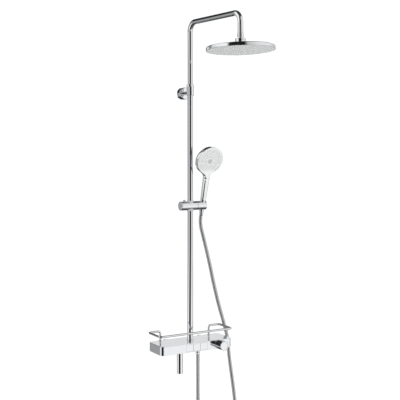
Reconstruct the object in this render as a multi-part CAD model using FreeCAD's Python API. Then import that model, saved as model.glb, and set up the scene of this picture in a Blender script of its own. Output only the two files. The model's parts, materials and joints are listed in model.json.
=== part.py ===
"""Wall-mounted rainfall shower column.

A thermostatic mixer under a shelf feeds a telescopic riser with an overhead rain head, a handset on a
sliding holder and a short spout. The origin is on the wall's surface, midway between the two wall
inlets. X runs to the right, Y into the wall and Z up, so the front of the column faces -Y.
"""
import FreeCAD
import Part
import math
import os

V = FreeCAD.Vector
X, Y, Z = V(1, 0, 0), V(0, 1, 0), V(0, 0, 1)

# ---------------------------------------------------------------- clearances
RUN_FIT = 0.05          # radial, for a shaft that turns or slides in its bore
SLIDE_FIT = 0.1         # radial, for the telescopic tubes and the slider
GAP = 0.3               # between pieces that move past each other

# ---------------------------------------------------------------- riser
RISER_FROM_WALL = 62.0  # wall surface to riser axis
LOWER_R = 11.0          # lower riser, outside
LOWER_WALL = 0.9
LOWER_TOP = 965.0
UPPER_WALL = 1.0
TELESCOPE_OVERLAP = 250.0
RISER_FOOT = -4.0       # where the lower riser ends, inside the mixer
RY = -RISER_FROM_WALL
UPPER_R = LOWER_R - LOWER_WALL - SLIDE_FIT

# ---------------------------------------------------------------- overhead arm
ARM_Z = 1219.0
ARM_REACH = 350.0
ARM_BEND_R = 38.0
ARM_DROP = 73.0         # arm centreline to the end of the down pipe
ARM_NUT_R = 11.5
ARM_NUT_H = 13.5

# ---------------------------------------------------------------- rain head
HEAD_R = 120.0
HEAD_THICK = 13.0
HEAD_TILT = 3.5         # degrees, front edge up
HEAD_SKIN = 1.5
BALL_R = 8.0
BALL_NECK_R = 5.0
SEAT_R = 10.5
HUB_R = 18.5
HUB_DEPTH = 22.0        # ball centre to the top of the head
HUB_CAP_H = 6.5
HUB_SPLIT = -1.0        # where the hub and its cap meet, from the ball's centre
HUB_WATERWAY_R = 4.0
SEAT_HALF_H = 4.0
BALL_ENGAGE = 3.5       # the neck's length inside the nut
BALL_SHANK_L = 24.0     # from there up, inside the down pipe
BALL_BORE_R = 3.0
FACE_PLATE_T = 2.0
NOZZLE_MAT_T = 2.5
HEAD_ROOF_T = 3.0
BALL_BELOW_NUT = 10.5   # nut's lower face to ball centre

# ---------------------------------------------------------------- clamp and wall bracket
CLAMP_R = 14.0
BRACKET_RING_H = 20.0
CLAMP_H = 23.0
BRACKET_ARM_R = 7.0
ROSETTE_R = 23.0
ROSETTE_DEPTH = 24.0
FLANGE_R = 19.0
FLANGE_T = 4.0
BRACKET_SCREW_R = 2.25
BRACKET_SCREW_PITCH = 26.0
WALL_SCREW_DEPTH = 34.0

# ---------------------------------------------------------------- mixer body and shelf
BODY_W = 305.0
BODY_FRONT = RY - 55.0
BODY_REAR = RY + 50.0
BODY_BOTTOM = -17.0
BODY_TOP = 15.0
BODY_WALL = 3.0
BODY_CORNER_R = 8.0
SHELF_T = 2.0
SHELF_TOP = BODY_TOP + SHELF_T
COVER_T = 2.5
COVER_SCREW_R = 1.5

# ---------------------------------------------------------------- guard rail
RAIL_R = 4.0
RAIL_HALF_W = 155.0
RAIL_FRONT = RY - 50.0
RAIL_REAR = RY + 42.0
RAIL_HEIGHT = 36.0
RAIL_BEND_R = 9.0
RAIL_POST_X = 107.0
RAIL_STUD_R = 2.5
RAIL_NUT_R = 4.5
RAIL_NUT_H = 4.0

# ---------------------------------------------------------------- inlets
INLET_PITCH = 150.0
INLET_THREAD_R = 10.48
INLET_THREAD_L = 15.0
UNION_HEX_AF = 24.0
UNION_HEX_L = 10.0
UNION_TAIL_R = 9.0
UNION_BORE_R = 6.5
UNION_NUT_AF = 24.0
UNION_NUT_L = 10.0
GASKET_T = 2.0
WALL_FLANGE_R = 16.5

# ---------------------------------------------------------------- manifold
MANIFOLD_X = (-130.0, 140.0)
MANIFOLD_FRONT = RY - 34.0
MANIFOLD_REAR = RY + 16.0
MANIFOLD_Z = (-13.0, 10.0)
INLET_BORE_R = 7.0
INLET_BORE_DEPTH = 14.0
CHECK_VALVE_R = 4.0     # its waterway
THREAD_ENGAGE = 5.0     # for the spout and the hose nipple, screwed in from below
SOCKET_WALL = 3.0
SOCKET_FLOOR = 4.0
OUTLET_BORE_R = 5.0

# ---------------------------------------------------------------- keys and valves
KEY_COUNT = 3
KEY_PITCH = 30.0
KEY_FIRST_SEAM = -47.0
KEY_SEAM = 0.5
KEY_T = 3.0
KEY_TRAVEL = 3.0
KEY_BOSS_R = 5.0
KEY_BOSS_END = MANIFOLD_FRONT - KEY_TRAVEL - 0.5
VALVE_R = 8.8
VALVE_LENGTH = 19.5
VALVE_STEM_R = 2.5
VALVE_STEM_L = 10.5
KEY_SPRING_R = 6.6
KEY_SPRING_WIRE = 1.0

# ---------------------------------------------------------------- thermostat and knob
KNOB_X = 96.0
KNOB_R = 18.0
KNOB_LENGTH = 37.4
KNOB_GAP = 0.6
KNOB_WALL = 2.5
KNOB_HUB_R = 8.0
CAP_R = 17.0
CAP_T = 2.0
STEM_R = 4.0
STEM_LENGTH = 45.0
CARTRIDGE_R = 10.3
CARTRIDGE_L = 40.0
STOP_BUTTON_R = 4.4
STOP_BUTTON_PROUD = 1.2
STOP_BUTTON_Y = BODY_FRONT - 15.0
STOP_BUTTON_FOOT = 13.0
STOP_SPRING_R = 2.6
STOP_SPRING_WIRE = 0.8
SPRING_FREE = 0.2       # a spring stops this far short of its seat

# ---------------------------------------------------------------- spout
SPOUT_X, SPOUT_Y = -55.0, RY - 18.0
SPOUT_R = 11.5
SPOUT_WALL = 2.0
SPOUT_LENGTH = 84.0
SPOUT_NECK_H = 3.0
SPOUT_NIPPLE_R = 8.0
SPOUT_NECK_R = 9.5
SPOUT_BORE_END = 10.0   # the wide bore stops this far below the body
SPOUT_WATERWAY_R = 6.0
AERATOR_H = 8.0
AERATOR_WALL = 1.5
AERATOR_RISE = 2.0
AERATOR_SLOT = 1.2
AERATOR_SLOT_PITCH = 2.6
AERATOR_SLOT_HALF = 6.0

# ---------------------------------------------------------------- hose
HOSE_R = 7.0
HOSE_X, HOSE_Y = 31.0, RY - 4.0
NIPPLE_R = 6.5
NIPPLE_FLANGE_R = 9.5
HOSE_NUT_R = 8.2
HOSE_NUT_TOP = -21.0
HOSE_NUT_FOOT = -40.0
NIPPLE_TAIL = 4.0       # into the hose nut
HOSE_BORE_R = 4.0
CONE_BORE_R = 3.0
CONE_THREAD_L = 10.0
CONE_FLOOR = 2.0
HOSE_STRAIGHT = 30.0    # straight out of the cone

# ---------------------------------------------------------------- slider and holder
SLIDER_Z = 529.0
SLIDER_R = 17.0
SLIDER_LEFT = -40.0
SLIDER_SEAM = 25.5
SLIDER_CAP_T = 4.0
LINER_R = 13.5
LINER_PROUD = 2.0
HOLDER_RIGHT = 66.0
AXLE_R = 5.0
LOCK_BUTTON_X = -26.0
LOCK_BUTTON_R = 5.0
LOCK_BUTTON_PROUD = 6.0
LOCK_FOOT = 8.0         # above the slider's axis
LOCK_SPRING_R = 3.6
LOCK_SPRING_WIRE = 0.8
AXLE_SETBACK = 2.5      # from the liner to the axle's end
AXLE_ENGAGE = 6.0       # in the holder

# ---------------------------------------------------------------- handset
# Heights are along the handle's own axis, from the holder's pivot.
HANDSET_X = 53.0
HANDSET_LEAN = 15.5     # degrees, forward
HANDLE_FOOT = -22.0
HANDLE_FOOT_R = 9.6
HANDLE_TOP = 132.0
HANDLE_TOP_R = 13.8
HANDLE_BORE_R = 5.5
WATERWAY_TOP = 150.0
SHOWER_CENTRE = 180.0
SHOWER_R = 54.5
SHOWER_DEPTH = 24.0
SHOWER_PITCH = 8.5      # degrees, the face looks this much further down than the handle leans
SHOWER_BACK_R = 9.0
SHOWER_RIM = 2.5
FACE_T = 3.0
SPRAY_BUTTON_R = 9.2
SPRAY_BUTTON_T = 4.0
SPRAY_STEM_R = 4.0
SPRAY_STEM_L = 8.0
FACE_INSET = 0.6
DISC_T = 6.0
DISC_SETBACK = 3.0      # behind the face plate
DISC_RIM = 3.0
SHOWER_HOLLOW = 15.0    # depth
INSERT_FOOT, INSERT_TOP = 40.0, 112.0
INSERT_W = 11.0
INSERT_SINK = 1.2
CONE_FOOT = -41.0
SOCKET_CLEAR = 0.3

# The hose's route: down from the mixer's outlet, round the open loop, up past the shelf's right end to
# the cone under the handset.
HOSE_LOOP = [
    (HOSE_X, HOSE_Y, HOSE_NUT_FOOT),
    (31, -66, -122),
    (30, -68, -207),
    (31.5, -69, -292),
    (30, -69, -352),
    (35, -69, -405),
    (58, -68.5, -448),
    (97, -68, -472),
    (145, -67.5, -471),
    (183, -66.5, -445),
    (204, -65, -402),
    (208, -63, -342),
    (206, -60, -280),
]
HOSE_RUN = [
    (201, -56, -213),
    (193.5, -49, -139),
    (187, -41, -68),
    (186.5, -33, -2),
    (172, -25, 61),
    (149, -27, 129),
    (125, -31, 208),
]
HOSE_BEND = [
    (104, -35.5, 288),
    (85, -36, 360),
]
HOSE_TOP = [
    (71, -39, 405),
]


def cylinder(radius, length, base, direction=Z):
    return Part.makeCylinder(radius, length, V(*base), direction)


def ring(outer, inner, length, base, direction=Z):
    """A round tube; its bore runs right through."""
    return cylinder(outer, length, base, direction).cut(cylinder(inner, length, base, direction))


def cuboid(low, high):
    return Part.makeBox(high[0] - low[0], high[1] - low[1], high[2] - low[2], V(*low))


def rounded_cuboid(low, high, radius):
    """A block whose four upright edges are rounded."""
    block = cuboid(low, high)
    upright = [e for e in block.Edges if abs(e.Vertexes[0].Z - e.Vertexes[1].Z) > 1e-6]
    return block.makeFillet(radius, upright)


def hexagon(across_flats, length, base, direction=Z):
    """A hexagonal bar; direction is Y or Z."""
    reach = across_flats / math.sqrt(3)
    side = Z if direction == Y else Y
    corners = []
    for k in range(7):
        turn = math.radians(60 * k)
        corners.append(V(*base) + X * reach * math.cos(turn) + side * reach * math.sin(turn))
    return Part.Face(Part.makePolygon(corners)).extrude(direction * length)


def rim_fillet(shape, radius, test):
    """Rounds the circular edges whose centre and radius pass the test."""
    edges = [e for e in shape.Edges if isinstance(e.Curve, Part.Circle) and test(e)]
    return shape.makeFillet(radius, edges)


def path_edges(points, radii):
    """Straight runs joined by tangent arcs, one radius for each inner point."""
    edges = []
    here = points[0]
    for k in range(1, len(points) - 1):
        corner = points[k]
        before = (corner - points[k - 1]).normalize()
        after = (points[k + 1] - corner).normalize()
        half_turn = before.getAngle(after) / 2
        cut_back = radii[k - 1] * math.tan(half_turn)
        start = corner - before * cut_back
        end = corner + after * cut_back
        inward = (after - before).normalize()
        middle = corner + inward * radii[k - 1] * (1 / math.cos(half_turn) - 1)
        edges.append(Part.makeLine(here, start))
        edges.append(Part.Arc(start, middle, end).toShape())
        here = end
    edges.append(Part.makeLine(here, points[-1]))
    return edges


def swept_rod(edges, radius):
    """A round bar along a path."""
    first = edges[0]
    start = first.valueAt(first.FirstParameter)
    heading = first.tangentAt(first.FirstParameter)
    section = Part.Wire(Part.makeCircle(radius, start, heading))
    return Part.Wire(edges).makePipeShell([section], True, False)


# ---------------------------------------------------------------- places worked out from the sizes above
CENTRE_Z = 0.0
FACE_Z = -HUB_DEPTH - HEAD_THICK
SHOWER_FRONT = -SHOWER_DEPTH / 2
NUT_FOOT = ARM_Z - ARM_DROP - ARM_NUT_H
BALL = V(0, RY - ARM_REACH, NUT_FOOT - BALL_BELOW_NUT)
UPPER_BORE_R = UPPER_R - UPPER_WALL
UPPER_FOOT = LOWER_TOP - TELESCOPE_OVERLAP
LOWER_BORE_R = LOWER_R - LOWER_WALL
BRACKET_Z = LOWER_TOP - BRACKET_RING_H / 2
PIVOT = V(HANDSET_X, RY, SLIDER_Z)
HANDSET_PLACE = FreeCAD.Placement(PIVOT, FreeCAD.Rotation(X, HANDSET_LEAN))
KEY_CENTRES = [KEY_FIRST_SEAM + KEY_PITCH * (k + 0.5) for k in range(KEY_COUNT)]
KEY_LOW = BODY_BOTTOM + COVER_T + GAP
KEY_HIGH = BODY_TOP - BODY_WALL - GAP


def in_handset(shape):
    """Moves a piece from the handset's own axes to its place in the holder."""
    shape.Placement = HANDSET_PLACE.multiply(shape.Placement)
    return shape


def in_rain_head(shape):
    """Moves a piece from the ball's centre to its place, with the head's tilt."""
    tilt = FreeCAD.Placement(BALL, FreeCAD.Rotation(X, -HEAD_TILT))
    shape.Placement = tilt.multiply(shape.Placement)
    return shape


# ---------------------------------------------------------------- mixer body
def mixer_casing():
    low = (-BODY_W / 2, BODY_FRONT, BODY_BOTTOM)
    high = (BODY_W / 2, BODY_REAR, BODY_TOP)
    shell = rounded_cuboid(low, high, BODY_CORNER_R)
    inner_low = (low[0] + BODY_WALL, low[1] + BODY_WALL, BODY_BOTTOM)
    inner_high = (high[0] - BODY_WALL, high[1] - BODY_WALL, BODY_TOP - BODY_WALL)
    shell = shell.cut(rounded_cuboid(inner_low, inner_high, BODY_CORNER_R - BODY_WALL))
    window_low = (KEY_FIRST_SEAM - GAP, BODY_FRONT, KEY_LOW - GAP)
    window_high = (KEY_FIRST_SEAM + KEY_COUNT * KEY_PITCH + GAP, BODY_FRONT + BODY_WALL, KEY_HIGH + GAP)
    shell = shell.cut(cuboid(window_low, window_high))
    shell = shell.cut(cylinder(LOWER_R, BODY_WALL, (0, RY, BODY_TOP - BODY_WALL)))
    shell = shell.cut(cylinder(CARTRIDGE_R, BODY_WALL, (KNOB_X, BODY_FRONT, CENTRE_Z), Y))
    for side in (-1, 1):
        rear = (side * INLET_PITCH / 2, BODY_REAR - BODY_WALL, CENTRE_Z)
        shell = shell.cut(cylinder(UNION_HEX_AF / math.sqrt(3) + GAP, BODY_WALL, rear, Y))
        stud = (side * RAIL_POST_X, RAIL_REAR, BODY_TOP - BODY_WALL)
        shell = shell.cut(cylinder(RAIL_STUD_R, BODY_WALL, stud))
    return shell


def cover_screw_places():
    inset = BODY_WALL + 8.0
    for x in (-BODY_W / 2 + inset, BODY_W / 2 - inset):
        for y in (BODY_FRONT + inset, BODY_REAR - inset):
            yield x, y


def base_cover():
    inset = BODY_WALL + 0.2
    low = (-BODY_W / 2 + inset, BODY_FRONT + inset, BODY_BOTTOM)
    high = (BODY_W / 2 - inset, BODY_REAR - inset, BODY_BOTTOM + COVER_T)
    plate = rounded_cuboid(low, high, BODY_CORNER_R - inset)
    plate = plate.cut(cylinder(SPOUT_NIPPLE_R, COVER_T, (SPOUT_X, SPOUT_Y, BODY_BOTTOM)))
    plate = plate.cut(cylinder(NIPPLE_R, COVER_T, (HOSE_X, HOSE_Y, BODY_BOTTOM)))
    for x, y in cover_screw_places():
        plate = plate.cut(cylinder(COVER_SCREW_R, COVER_T, (x, y, BODY_BOTTOM)))
    return plate


def cover_screws():
    """Four screws; each goes up through the cover into a pillar nut."""
    screws = []
    for x, y in cover_screw_places():
        shank = cylinder(COVER_SCREW_R, BODY_TOP - BODY_WALL - BODY_BOTTOM, (x, y, BODY_BOTTOM))
        head = cylinder(COVER_SCREW_R * 2, 1.2, (x, y, BODY_BOTTOM - 1.2))
        screws.append(shank.fuse(head))
    return Part.makeCompound(screws)


def shelf_plate():
    low = (-BODY_W / 2, BODY_FRONT, BODY_TOP)
    high = (BODY_W / 2, BODY_REAR, SHELF_TOP)
    plate = rounded_cuboid(low, high, BODY_CORNER_R)
    plate = plate.cut(cylinder(LOWER_R, SHELF_T, (0, RY, BODY_TOP)))
    for side in (-1, 1):
        plate = plate.cut(cylinder(RAIL_STUD_R, SHELF_T, (side * RAIL_POST_X, RAIL_REAR, BODY_TOP)))
    return plate


def guard_rail():
    """One bent bar: two rear posts, two ends and the front."""
    top = SHELF_TOP + RAIL_HEIGHT
    points = [
        V(-RAIL_POST_X, RAIL_REAR, SHELF_TOP),
        V(-RAIL_POST_X, RAIL_REAR, top),
        V(-RAIL_HALF_W, RAIL_REAR, top),
        V(-RAIL_HALF_W, RAIL_FRONT, top),
        V(RAIL_HALF_W, RAIL_FRONT, top),
        V(RAIL_HALF_W, RAIL_REAR, top),
        V(RAIL_POST_X, RAIL_REAR, top),
        V(RAIL_POST_X, RAIL_REAR, SHELF_TOP),
    ]
    bar = swept_rod(path_edges(points, [RAIL_BEND_R] * (len(points) - 2)), RAIL_R)
    stud_length = SHELF_T + BODY_WALL + RAIL_NUT_H + 1.0
    for side in (-1, 1):
        stud_foot = (side * RAIL_POST_X, RAIL_REAR, SHELF_TOP - stud_length)
        bar = bar.fuse(cylinder(RAIL_STUD_R, stud_length, stud_foot))
    return bar.removeSplitter()


def rail_nuts():
    nuts = []
    for side in (-1, 1):
        foot = (side * RAIL_POST_X, RAIL_REAR, BODY_TOP - BODY_WALL - RAIL_NUT_H)
        nut = hexagon(RAIL_NUT_R * 2, RAIL_NUT_H, foot)
        nuts.append(nut.cut(cylinder(RAIL_STUD_R, RAIL_NUT_H, foot)))
    return Part.makeCompound(nuts)


# ---------------------------------------------------------------- inlets and waterways
def wall_union(x):
    """Threaded into the wall on one side and sealed on the manifold at the other."""
    tail_end = MANIFOLD_REAR + GASKET_T
    body = cylinder(INLET_THREAD_R, INLET_THREAD_L, (x, 0, CENTRE_Z), Y)
    body = body.fuse(hexagon(UNION_HEX_AF, UNION_HEX_L, (x, -UNION_HEX_L, CENTRE_Z), Y))
    body = body.fuse(cylinder(UNION_TAIL_R, -UNION_HEX_L - tail_end, (x, tail_end, CENTRE_Z), Y))
    bore = cylinder(UNION_BORE_R, INLET_THREAD_L - tail_end, (x, tail_end, CENTRE_Z), Y)
    return body.cut(bore)


def both_inlets(make):
    """The same piece at the hot and the cold inlet."""
    return Part.makeCompound([make(side * INLET_PITCH / 2) for side in (-1, 1)])


def union_nuts():
    start = MANIFOLD_REAR + GASKET_T

    def nut(x):
        bar = hexagon(UNION_NUT_AF, UNION_NUT_L, (x, start, CENTRE_Z), Y)
        return bar.cut(cylinder(UNION_TAIL_R, UNION_NUT_L, (x, start, CENTRE_Z), Y))

    return both_inlets(nut)


def filter_gaskets():
    def gasket(x):
        return ring(UNION_TAIL_R, UNION_BORE_R, GASKET_T, (x, MANIFOLD_REAR, CENTRE_Z), Y)

    return both_inlets(gasket)


def wall_flanges():
    inner = UNION_HEX_AF / math.sqrt(3)
    return both_inlets(lambda x: ring(WALL_FLANGE_R, inner, UNION_HEX_L, (x, -UNION_HEX_L, CENTRE_Z), Y))


def check_valves():
    start = MANIFOLD_REAR - INLET_BORE_DEPTH + 1.0
    length = INLET_BORE_DEPTH - 2.0
    return both_inlets(lambda x: ring(INLET_BORE_R, CHECK_VALVE_R, length, (x, start, CENTRE_Z), Y))


def valve_manifold():
    low = (MANIFOLD_X[0], MANIFOLD_FRONT, MANIFOLD_Z[0])
    high = (MANIFOLD_X[1], MANIFOLD_REAR, MANIFOLD_Z[1])
    block = cuboid(low, high)
    socket = (0, RY, RISER_FOOT - SOCKET_FLOOR)
    socket_h = BODY_TOP - BODY_WALL - socket[2]
    block = block.fuse(cylinder(LOWER_R + SOCKET_WALL, socket_h, socket))
    block = block.cut(cylinder(LOWER_R, socket_h, (0, RY, RISER_FOOT)))
    block = block.cut(cylinder(OUTLET_BORE_R, SOCKET_FLOOR, socket))
    for x in KEY_CENTRES:
        block = block.cut(cylinder(VALVE_R, VALVE_LENGTH, (x, MANIFOLD_FRONT, CENTRE_Z), Y))
    block = block.cut(cylinder(CARTRIDGE_R, CARTRIDGE_L, (KNOB_X, MANIFOLD_FRONT, CENTRE_Z), Y))
    for side in (-1, 1):
        inlet = (side * INLET_PITCH / 2, MANIFOLD_REAR - INLET_BORE_DEPTH, CENTRE_Z)
        block = block.cut(cylinder(INLET_BORE_R, INLET_BORE_DEPTH, inlet, Y))
    spout_hole = cylinder(SPOUT_NIPPLE_R, THREAD_ENGAGE, (SPOUT_X, SPOUT_Y, MANIFOLD_Z[0]))
    hose_hole = cylinder(NIPPLE_R, THREAD_ENGAGE, (HOSE_X, HOSE_Y, MANIFOLD_Z[0]))
    return block.cut(spout_hole).cut(hose_hole)


def outlet_valves():
    """One stop valve behind each key, with the stem that the key pushes."""
    valves = []
    for x in KEY_CENTRES:
        body = cylinder(VALVE_R, VALVE_LENGTH, (x, MANIFOLD_FRONT, CENTRE_Z), Y)
        stem = cylinder(VALVE_STEM_R, VALVE_STEM_L, (x, MANIFOLD_FRONT - VALVE_STEM_L, CENTRE_Z), Y)
        valves.append(body.fuse(stem))
    return Part.makeCompound(valves)


def thermostat_cartridge():
    body = cylinder(CARTRIDGE_R, CARTRIDGE_L, (KNOB_X, MANIFOLD_FRONT, CENTRE_Z), Y)
    neck_start = BODY_FRONT
    neck = cylinder(CARTRIDGE_R, MANIFOLD_FRONT - neck_start, (KNOB_X, neck_start, CENTRE_Z), Y)
    stem = cylinder(STEM_R, STEM_LENGTH, (KNOB_X, MANIFOLD_FRONT - STEM_LENGTH, CENTRE_Z), Y)
    return body.fuse(neck).fuse(stem).removeSplitter()


# ---------------------------------------------------------------- keys
def outlet_key(centre):
    half = KEY_PITCH / 2 - KEY_SEAM / 2
    tile = cuboid((centre - half, BODY_FRONT, KEY_LOW), (centre + half, BODY_FRONT + KEY_T, KEY_HIGH))
    boss_start = BODY_FRONT + KEY_T
    boss = cylinder(KEY_BOSS_R, KEY_BOSS_END - boss_start, (centre, boss_start, CENTRE_Z), Y)
    bore_start = MANIFOLD_FRONT - VALVE_STEM_L - KEY_TRAVEL - 1.0
    bore = cylinder(VALVE_STEM_R + RUN_FIT, KEY_BOSS_END - bore_start, (centre, bore_start, CENTRE_Z), Y)
    return tile.fuse(boss).cut(bore)


def key_springs():
    start = BODY_FRONT + KEY_T
    length = MANIFOLD_FRONT - start
    inner = KEY_SPRING_R - KEY_SPRING_WIRE
    return Part.makeCompound(
        [ring(KEY_SPRING_R, inner, length, (x, start, CENTRE_Z), Y) for x in KEY_CENTRES]
    )


# ---------------------------------------------------------------- temperature knob
def temperature_knob():
    front = BODY_FRONT - KNOB_GAP - KNOB_LENGTH
    body = cylinder(KNOB_R, KNOB_LENGTH, (KNOB_X, front, CENTRE_Z), Y)
    body = rim_fillet(body, 1.0, lambda e: e.Curve.Radius > KNOB_R - 1e-6)
    body = body.cut(cylinder(CAP_R, CAP_T, (KNOB_X, front, CENTRE_Z), Y))
    hollow_start = front + CAP_T + KNOB_WALL
    hollow_length = BODY_FRONT - KNOB_GAP - hollow_start
    hollow = ring(KNOB_R - KNOB_WALL, KNOB_HUB_R, hollow_length, (KNOB_X, hollow_start, CENTRE_Z), Y)
    body = body.cut(hollow)
    stem_end = MANIFOLD_FRONT - STEM_LENGTH
    bore_start = stem_end - GAP
    bore = cylinder(STEM_R + RUN_FIT, BODY_FRONT - bore_start, (KNOB_X, bore_start, CENTRE_Z), Y)
    hole = cylinder(STOP_BUTTON_R + 0.1, KNOB_R, (KNOB_X, STOP_BUTTON_Y, STOP_BUTTON_FOOT - 1.0))
    return body.cut(bore).cut(hole)


def knob_cap():
    front = BODY_FRONT - KNOB_GAP - KNOB_LENGTH
    return cylinder(CAP_R, CAP_T, (KNOB_X, front, CENTRE_Z), Y)


def stop_button():
    height = KNOB_R + STOP_BUTTON_PROUD - STOP_BUTTON_FOOT
    button = cylinder(STOP_BUTTON_R, height, (KNOB_X, STOP_BUTTON_Y, STOP_BUTTON_FOOT))
    return rim_fillet(button, 0.8, lambda e: e.Curve.Center.z > STOP_BUTTON_FOOT + 1.0)


def stop_spring():
    foot = KNOB_HUB_R + SPRING_FREE
    inner = STOP_SPRING_R - STOP_SPRING_WIRE
    return ring(STOP_SPRING_R, inner, STOP_BUTTON_FOOT - foot, (KNOB_X, STOP_BUTTON_Y, foot))


# ---------------------------------------------------------------- spout and hose outlet
def spout_tube():
    foot = BODY_BOTTOM - SPOUT_LENGTH
    tube = cylinder(SPOUT_R, SPOUT_LENGTH - SPOUT_NECK_H, (SPOUT_X, SPOUT_Y, foot))
    tube = rim_fillet(tube, 3.0, lambda e: e.Curve.Center.z > foot + 1.0)
    neck = cylinder(SPOUT_NECK_R, SPOUT_NECK_H, (SPOUT_X, SPOUT_Y, BODY_BOTTOM - SPOUT_NECK_H))
    nipple_top = MANIFOLD_Z[0] + THREAD_ENGAGE
    nipple = cylinder(SPOUT_NIPPLE_R, nipple_top - BODY_BOTTOM, (SPOUT_X, SPOUT_Y, BODY_BOTTOM))
    tube = tube.fuse(neck).fuse(nipple)
    bore_top = BODY_BOTTOM - SPOUT_BORE_END
    tube = tube.cut(cylinder(SPOUT_R - SPOUT_WALL, bore_top - foot, (SPOUT_X, SPOUT_Y, foot)))
    return tube.cut(cylinder(SPOUT_WATERWAY_R, nipple_top - bore_top, (SPOUT_X, SPOUT_Y, bore_top)))


def spout_aerator():
    foot = BODY_BOTTOM - SPOUT_LENGTH
    bore = SPOUT_R - SPOUT_WALL
    inner = bore - AERATOR_WALL
    grid_foot = foot + AERATOR_RISE
    sleeve = ring(bore, inner, AERATOR_H, (SPOUT_X, SPOUT_Y, foot))
    grid = cylinder(inner, AERATOR_WALL, (SPOUT_X, SPOUT_Y, grid_foot))
    for step in range(-2, 3):
        middle = SPOUT_Y + step * AERATOR_SLOT_PITCH
        slot_low = (SPOUT_X - AERATOR_SLOT_HALF, middle - AERATOR_SLOT / 2, grid_foot)
        slot_high = (SPOUT_X + AERATOR_SLOT_HALF, middle + AERATOR_SLOT / 2, grid_foot + AERATOR_WALL)
        grid = grid.cut(cuboid(slot_low, slot_high))
    return sleeve.fuse(grid)


def hose_nipple():
    """Screwed into the manifold from below; the hose nut turns on it."""
    foot = HOSE_NUT_TOP - NIPPLE_TAIL
    length = MANIFOLD_Z[0] + THREAD_ENGAGE - foot
    flange_h = BODY_BOTTOM - HOSE_NUT_TOP
    body = cylinder(NIPPLE_R, length, (HOSE_X, HOSE_Y, foot))
    body = body.fuse(cylinder(NIPPLE_FLANGE_R, flange_h, (HOSE_X, HOSE_Y, HOSE_NUT_TOP)))
    return body.cut(cylinder(HOSE_BORE_R, length, (HOSE_X, HOSE_Y, foot)))


def hose_nut():
    nut = cylinder(HOSE_NUT_R, HOSE_NUT_TOP - HOSE_NUT_FOOT, (HOSE_X, HOSE_Y, HOSE_NUT_FOOT))
    nut = nut.cut(cylinder(NIPPLE_R, NIPPLE_TAIL, (HOSE_X, HOSE_Y, HOSE_NUT_TOP - NIPPLE_TAIL)))
    bore_foot = HOSE_NUT_FOOT + CONE_FLOOR
    nut = nut.cut(cylinder(HOSE_BORE_R, HOSE_NUT_TOP - bore_foot, (HOSE_X, HOSE_Y, bore_foot)))
    return rim_fillet(nut, 1.0, lambda e: e.Curve.Radius > HOSE_NUT_R - 1e-6)


# ---------------------------------------------------------------- riser, clamp and wall bracket
def lower_riser():
    return ring(LOWER_R, LOWER_BORE_R, LOWER_TOP - RISER_FOOT, (0, RY, RISER_FOOT))


def riser_base_ring():
    collar = ring(LOWER_R + 2.6, LOWER_R, 3.0, (0, RY, SHELF_TOP))
    middle_z = SHELF_TOP + 1.5
    return rim_fillet(collar, 1.0, lambda e: e.Curve.Radius > LOWER_R + 1.0 and e.Curve.Center.z > middle_z)


def wall_bracket():
    ring_foot = LOWER_TOP - BRACKET_RING_H
    band = cylinder(CLAMP_R, BRACKET_RING_H, (0, RY, ring_foot))
    arm = cylinder(BRACKET_ARM_R, RISER_FROM_WALL - FLANGE_T, (0, RY, BRACKET_Z), Y)
    flange = cylinder(FLANGE_R, FLANGE_T, (0, -FLANGE_T, BRACKET_Z), Y)
    body = band.fuse(arm).fuse(flange)
    body = body.cut(cylinder(LOWER_R, BRACKET_RING_H, (0, RY, ring_foot)))
    for side in (-1, 1):
        hole = (0, -FLANGE_T, BRACKET_Z + side * BRACKET_SCREW_PITCH / 2)
        body = body.cut(cylinder(BRACKET_SCREW_R, FLANGE_T, hole, Y))
    return body


def bracket_rosette():
    """A cup that covers the flange and its screws."""
    wall = 1.5
    cup = cylinder(ROSETTE_R, ROSETTE_DEPTH, (0, -ROSETTE_DEPTH, BRACKET_Z), Y)
    cup = rim_fillet(cup, 2.0, lambda e: e.Curve.Center.y < -1.0)
    cup = cup.cut(cylinder(ROSETTE_R - wall, ROSETTE_DEPTH - wall, (0, wall - ROSETTE_DEPTH, BRACKET_Z), Y))
    return cup.cut(cylinder(BRACKET_ARM_R, ROSETTE_DEPTH, (0, -ROSETTE_DEPTH, BRACKET_Z), Y))


def bracket_screws():
    screws = []
    for side in (-1, 1):
        z = BRACKET_Z + side * BRACKET_SCREW_PITCH / 2
        shank = cylinder(BRACKET_SCREW_R, FLANGE_T + WALL_SCREW_DEPTH, (0, -FLANGE_T, z), Y)
        head = cylinder(BRACKET_SCREW_R * 1.9, 2.5, (0, -FLANGE_T - 2.5, z), Y)
        screws.append(shank.fuse(head))
    return Part.makeCompound(screws)


def clamp_collar():
    body = cylinder(CLAMP_R, CLAMP_H, (0, RY, LOWER_TOP))
    body = rim_fillet(body, 1.2, lambda e: e.Curve.Center.z > LOWER_TOP + 1.0)
    return body.cut(cylinder(UPPER_R + SLIDE_FIT, CLAMP_H, (0, RY, LOWER_TOP)))


# ---------------------------------------------------------------- telescopic mast and overhead arm
def seal_carrier():
    """Slides in the lower riser and carries the seals; the upper tube turns on its spigot."""
    body = cylinder(UPPER_R, 25.0, (0, RY, UPPER_FOOT - 25.0))
    body = body.fuse(cylinder(UPPER_BORE_R - RUN_FIT, 20.0, (0, RY, UPPER_FOOT)))
    body = body.cut(cylinder(OUTLET_BORE_R, 45.0, (0, RY, UPPER_FOOT - 25.0)))
    for z in seal_heights():
        body = body.cut(ring(UPPER_R, UPPER_R - 1.8, 2.0, (0, RY, z - 1.0)))
    return body


def seal_heights():
    return UPPER_FOOT - 18.0, UPPER_FOOT - 8.0


def carrier_seals():
    return Part.makeCompound([Part.makeTorus(UPPER_R - 0.9, 0.9, V(0, RY, z)) for z in seal_heights()])


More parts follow.
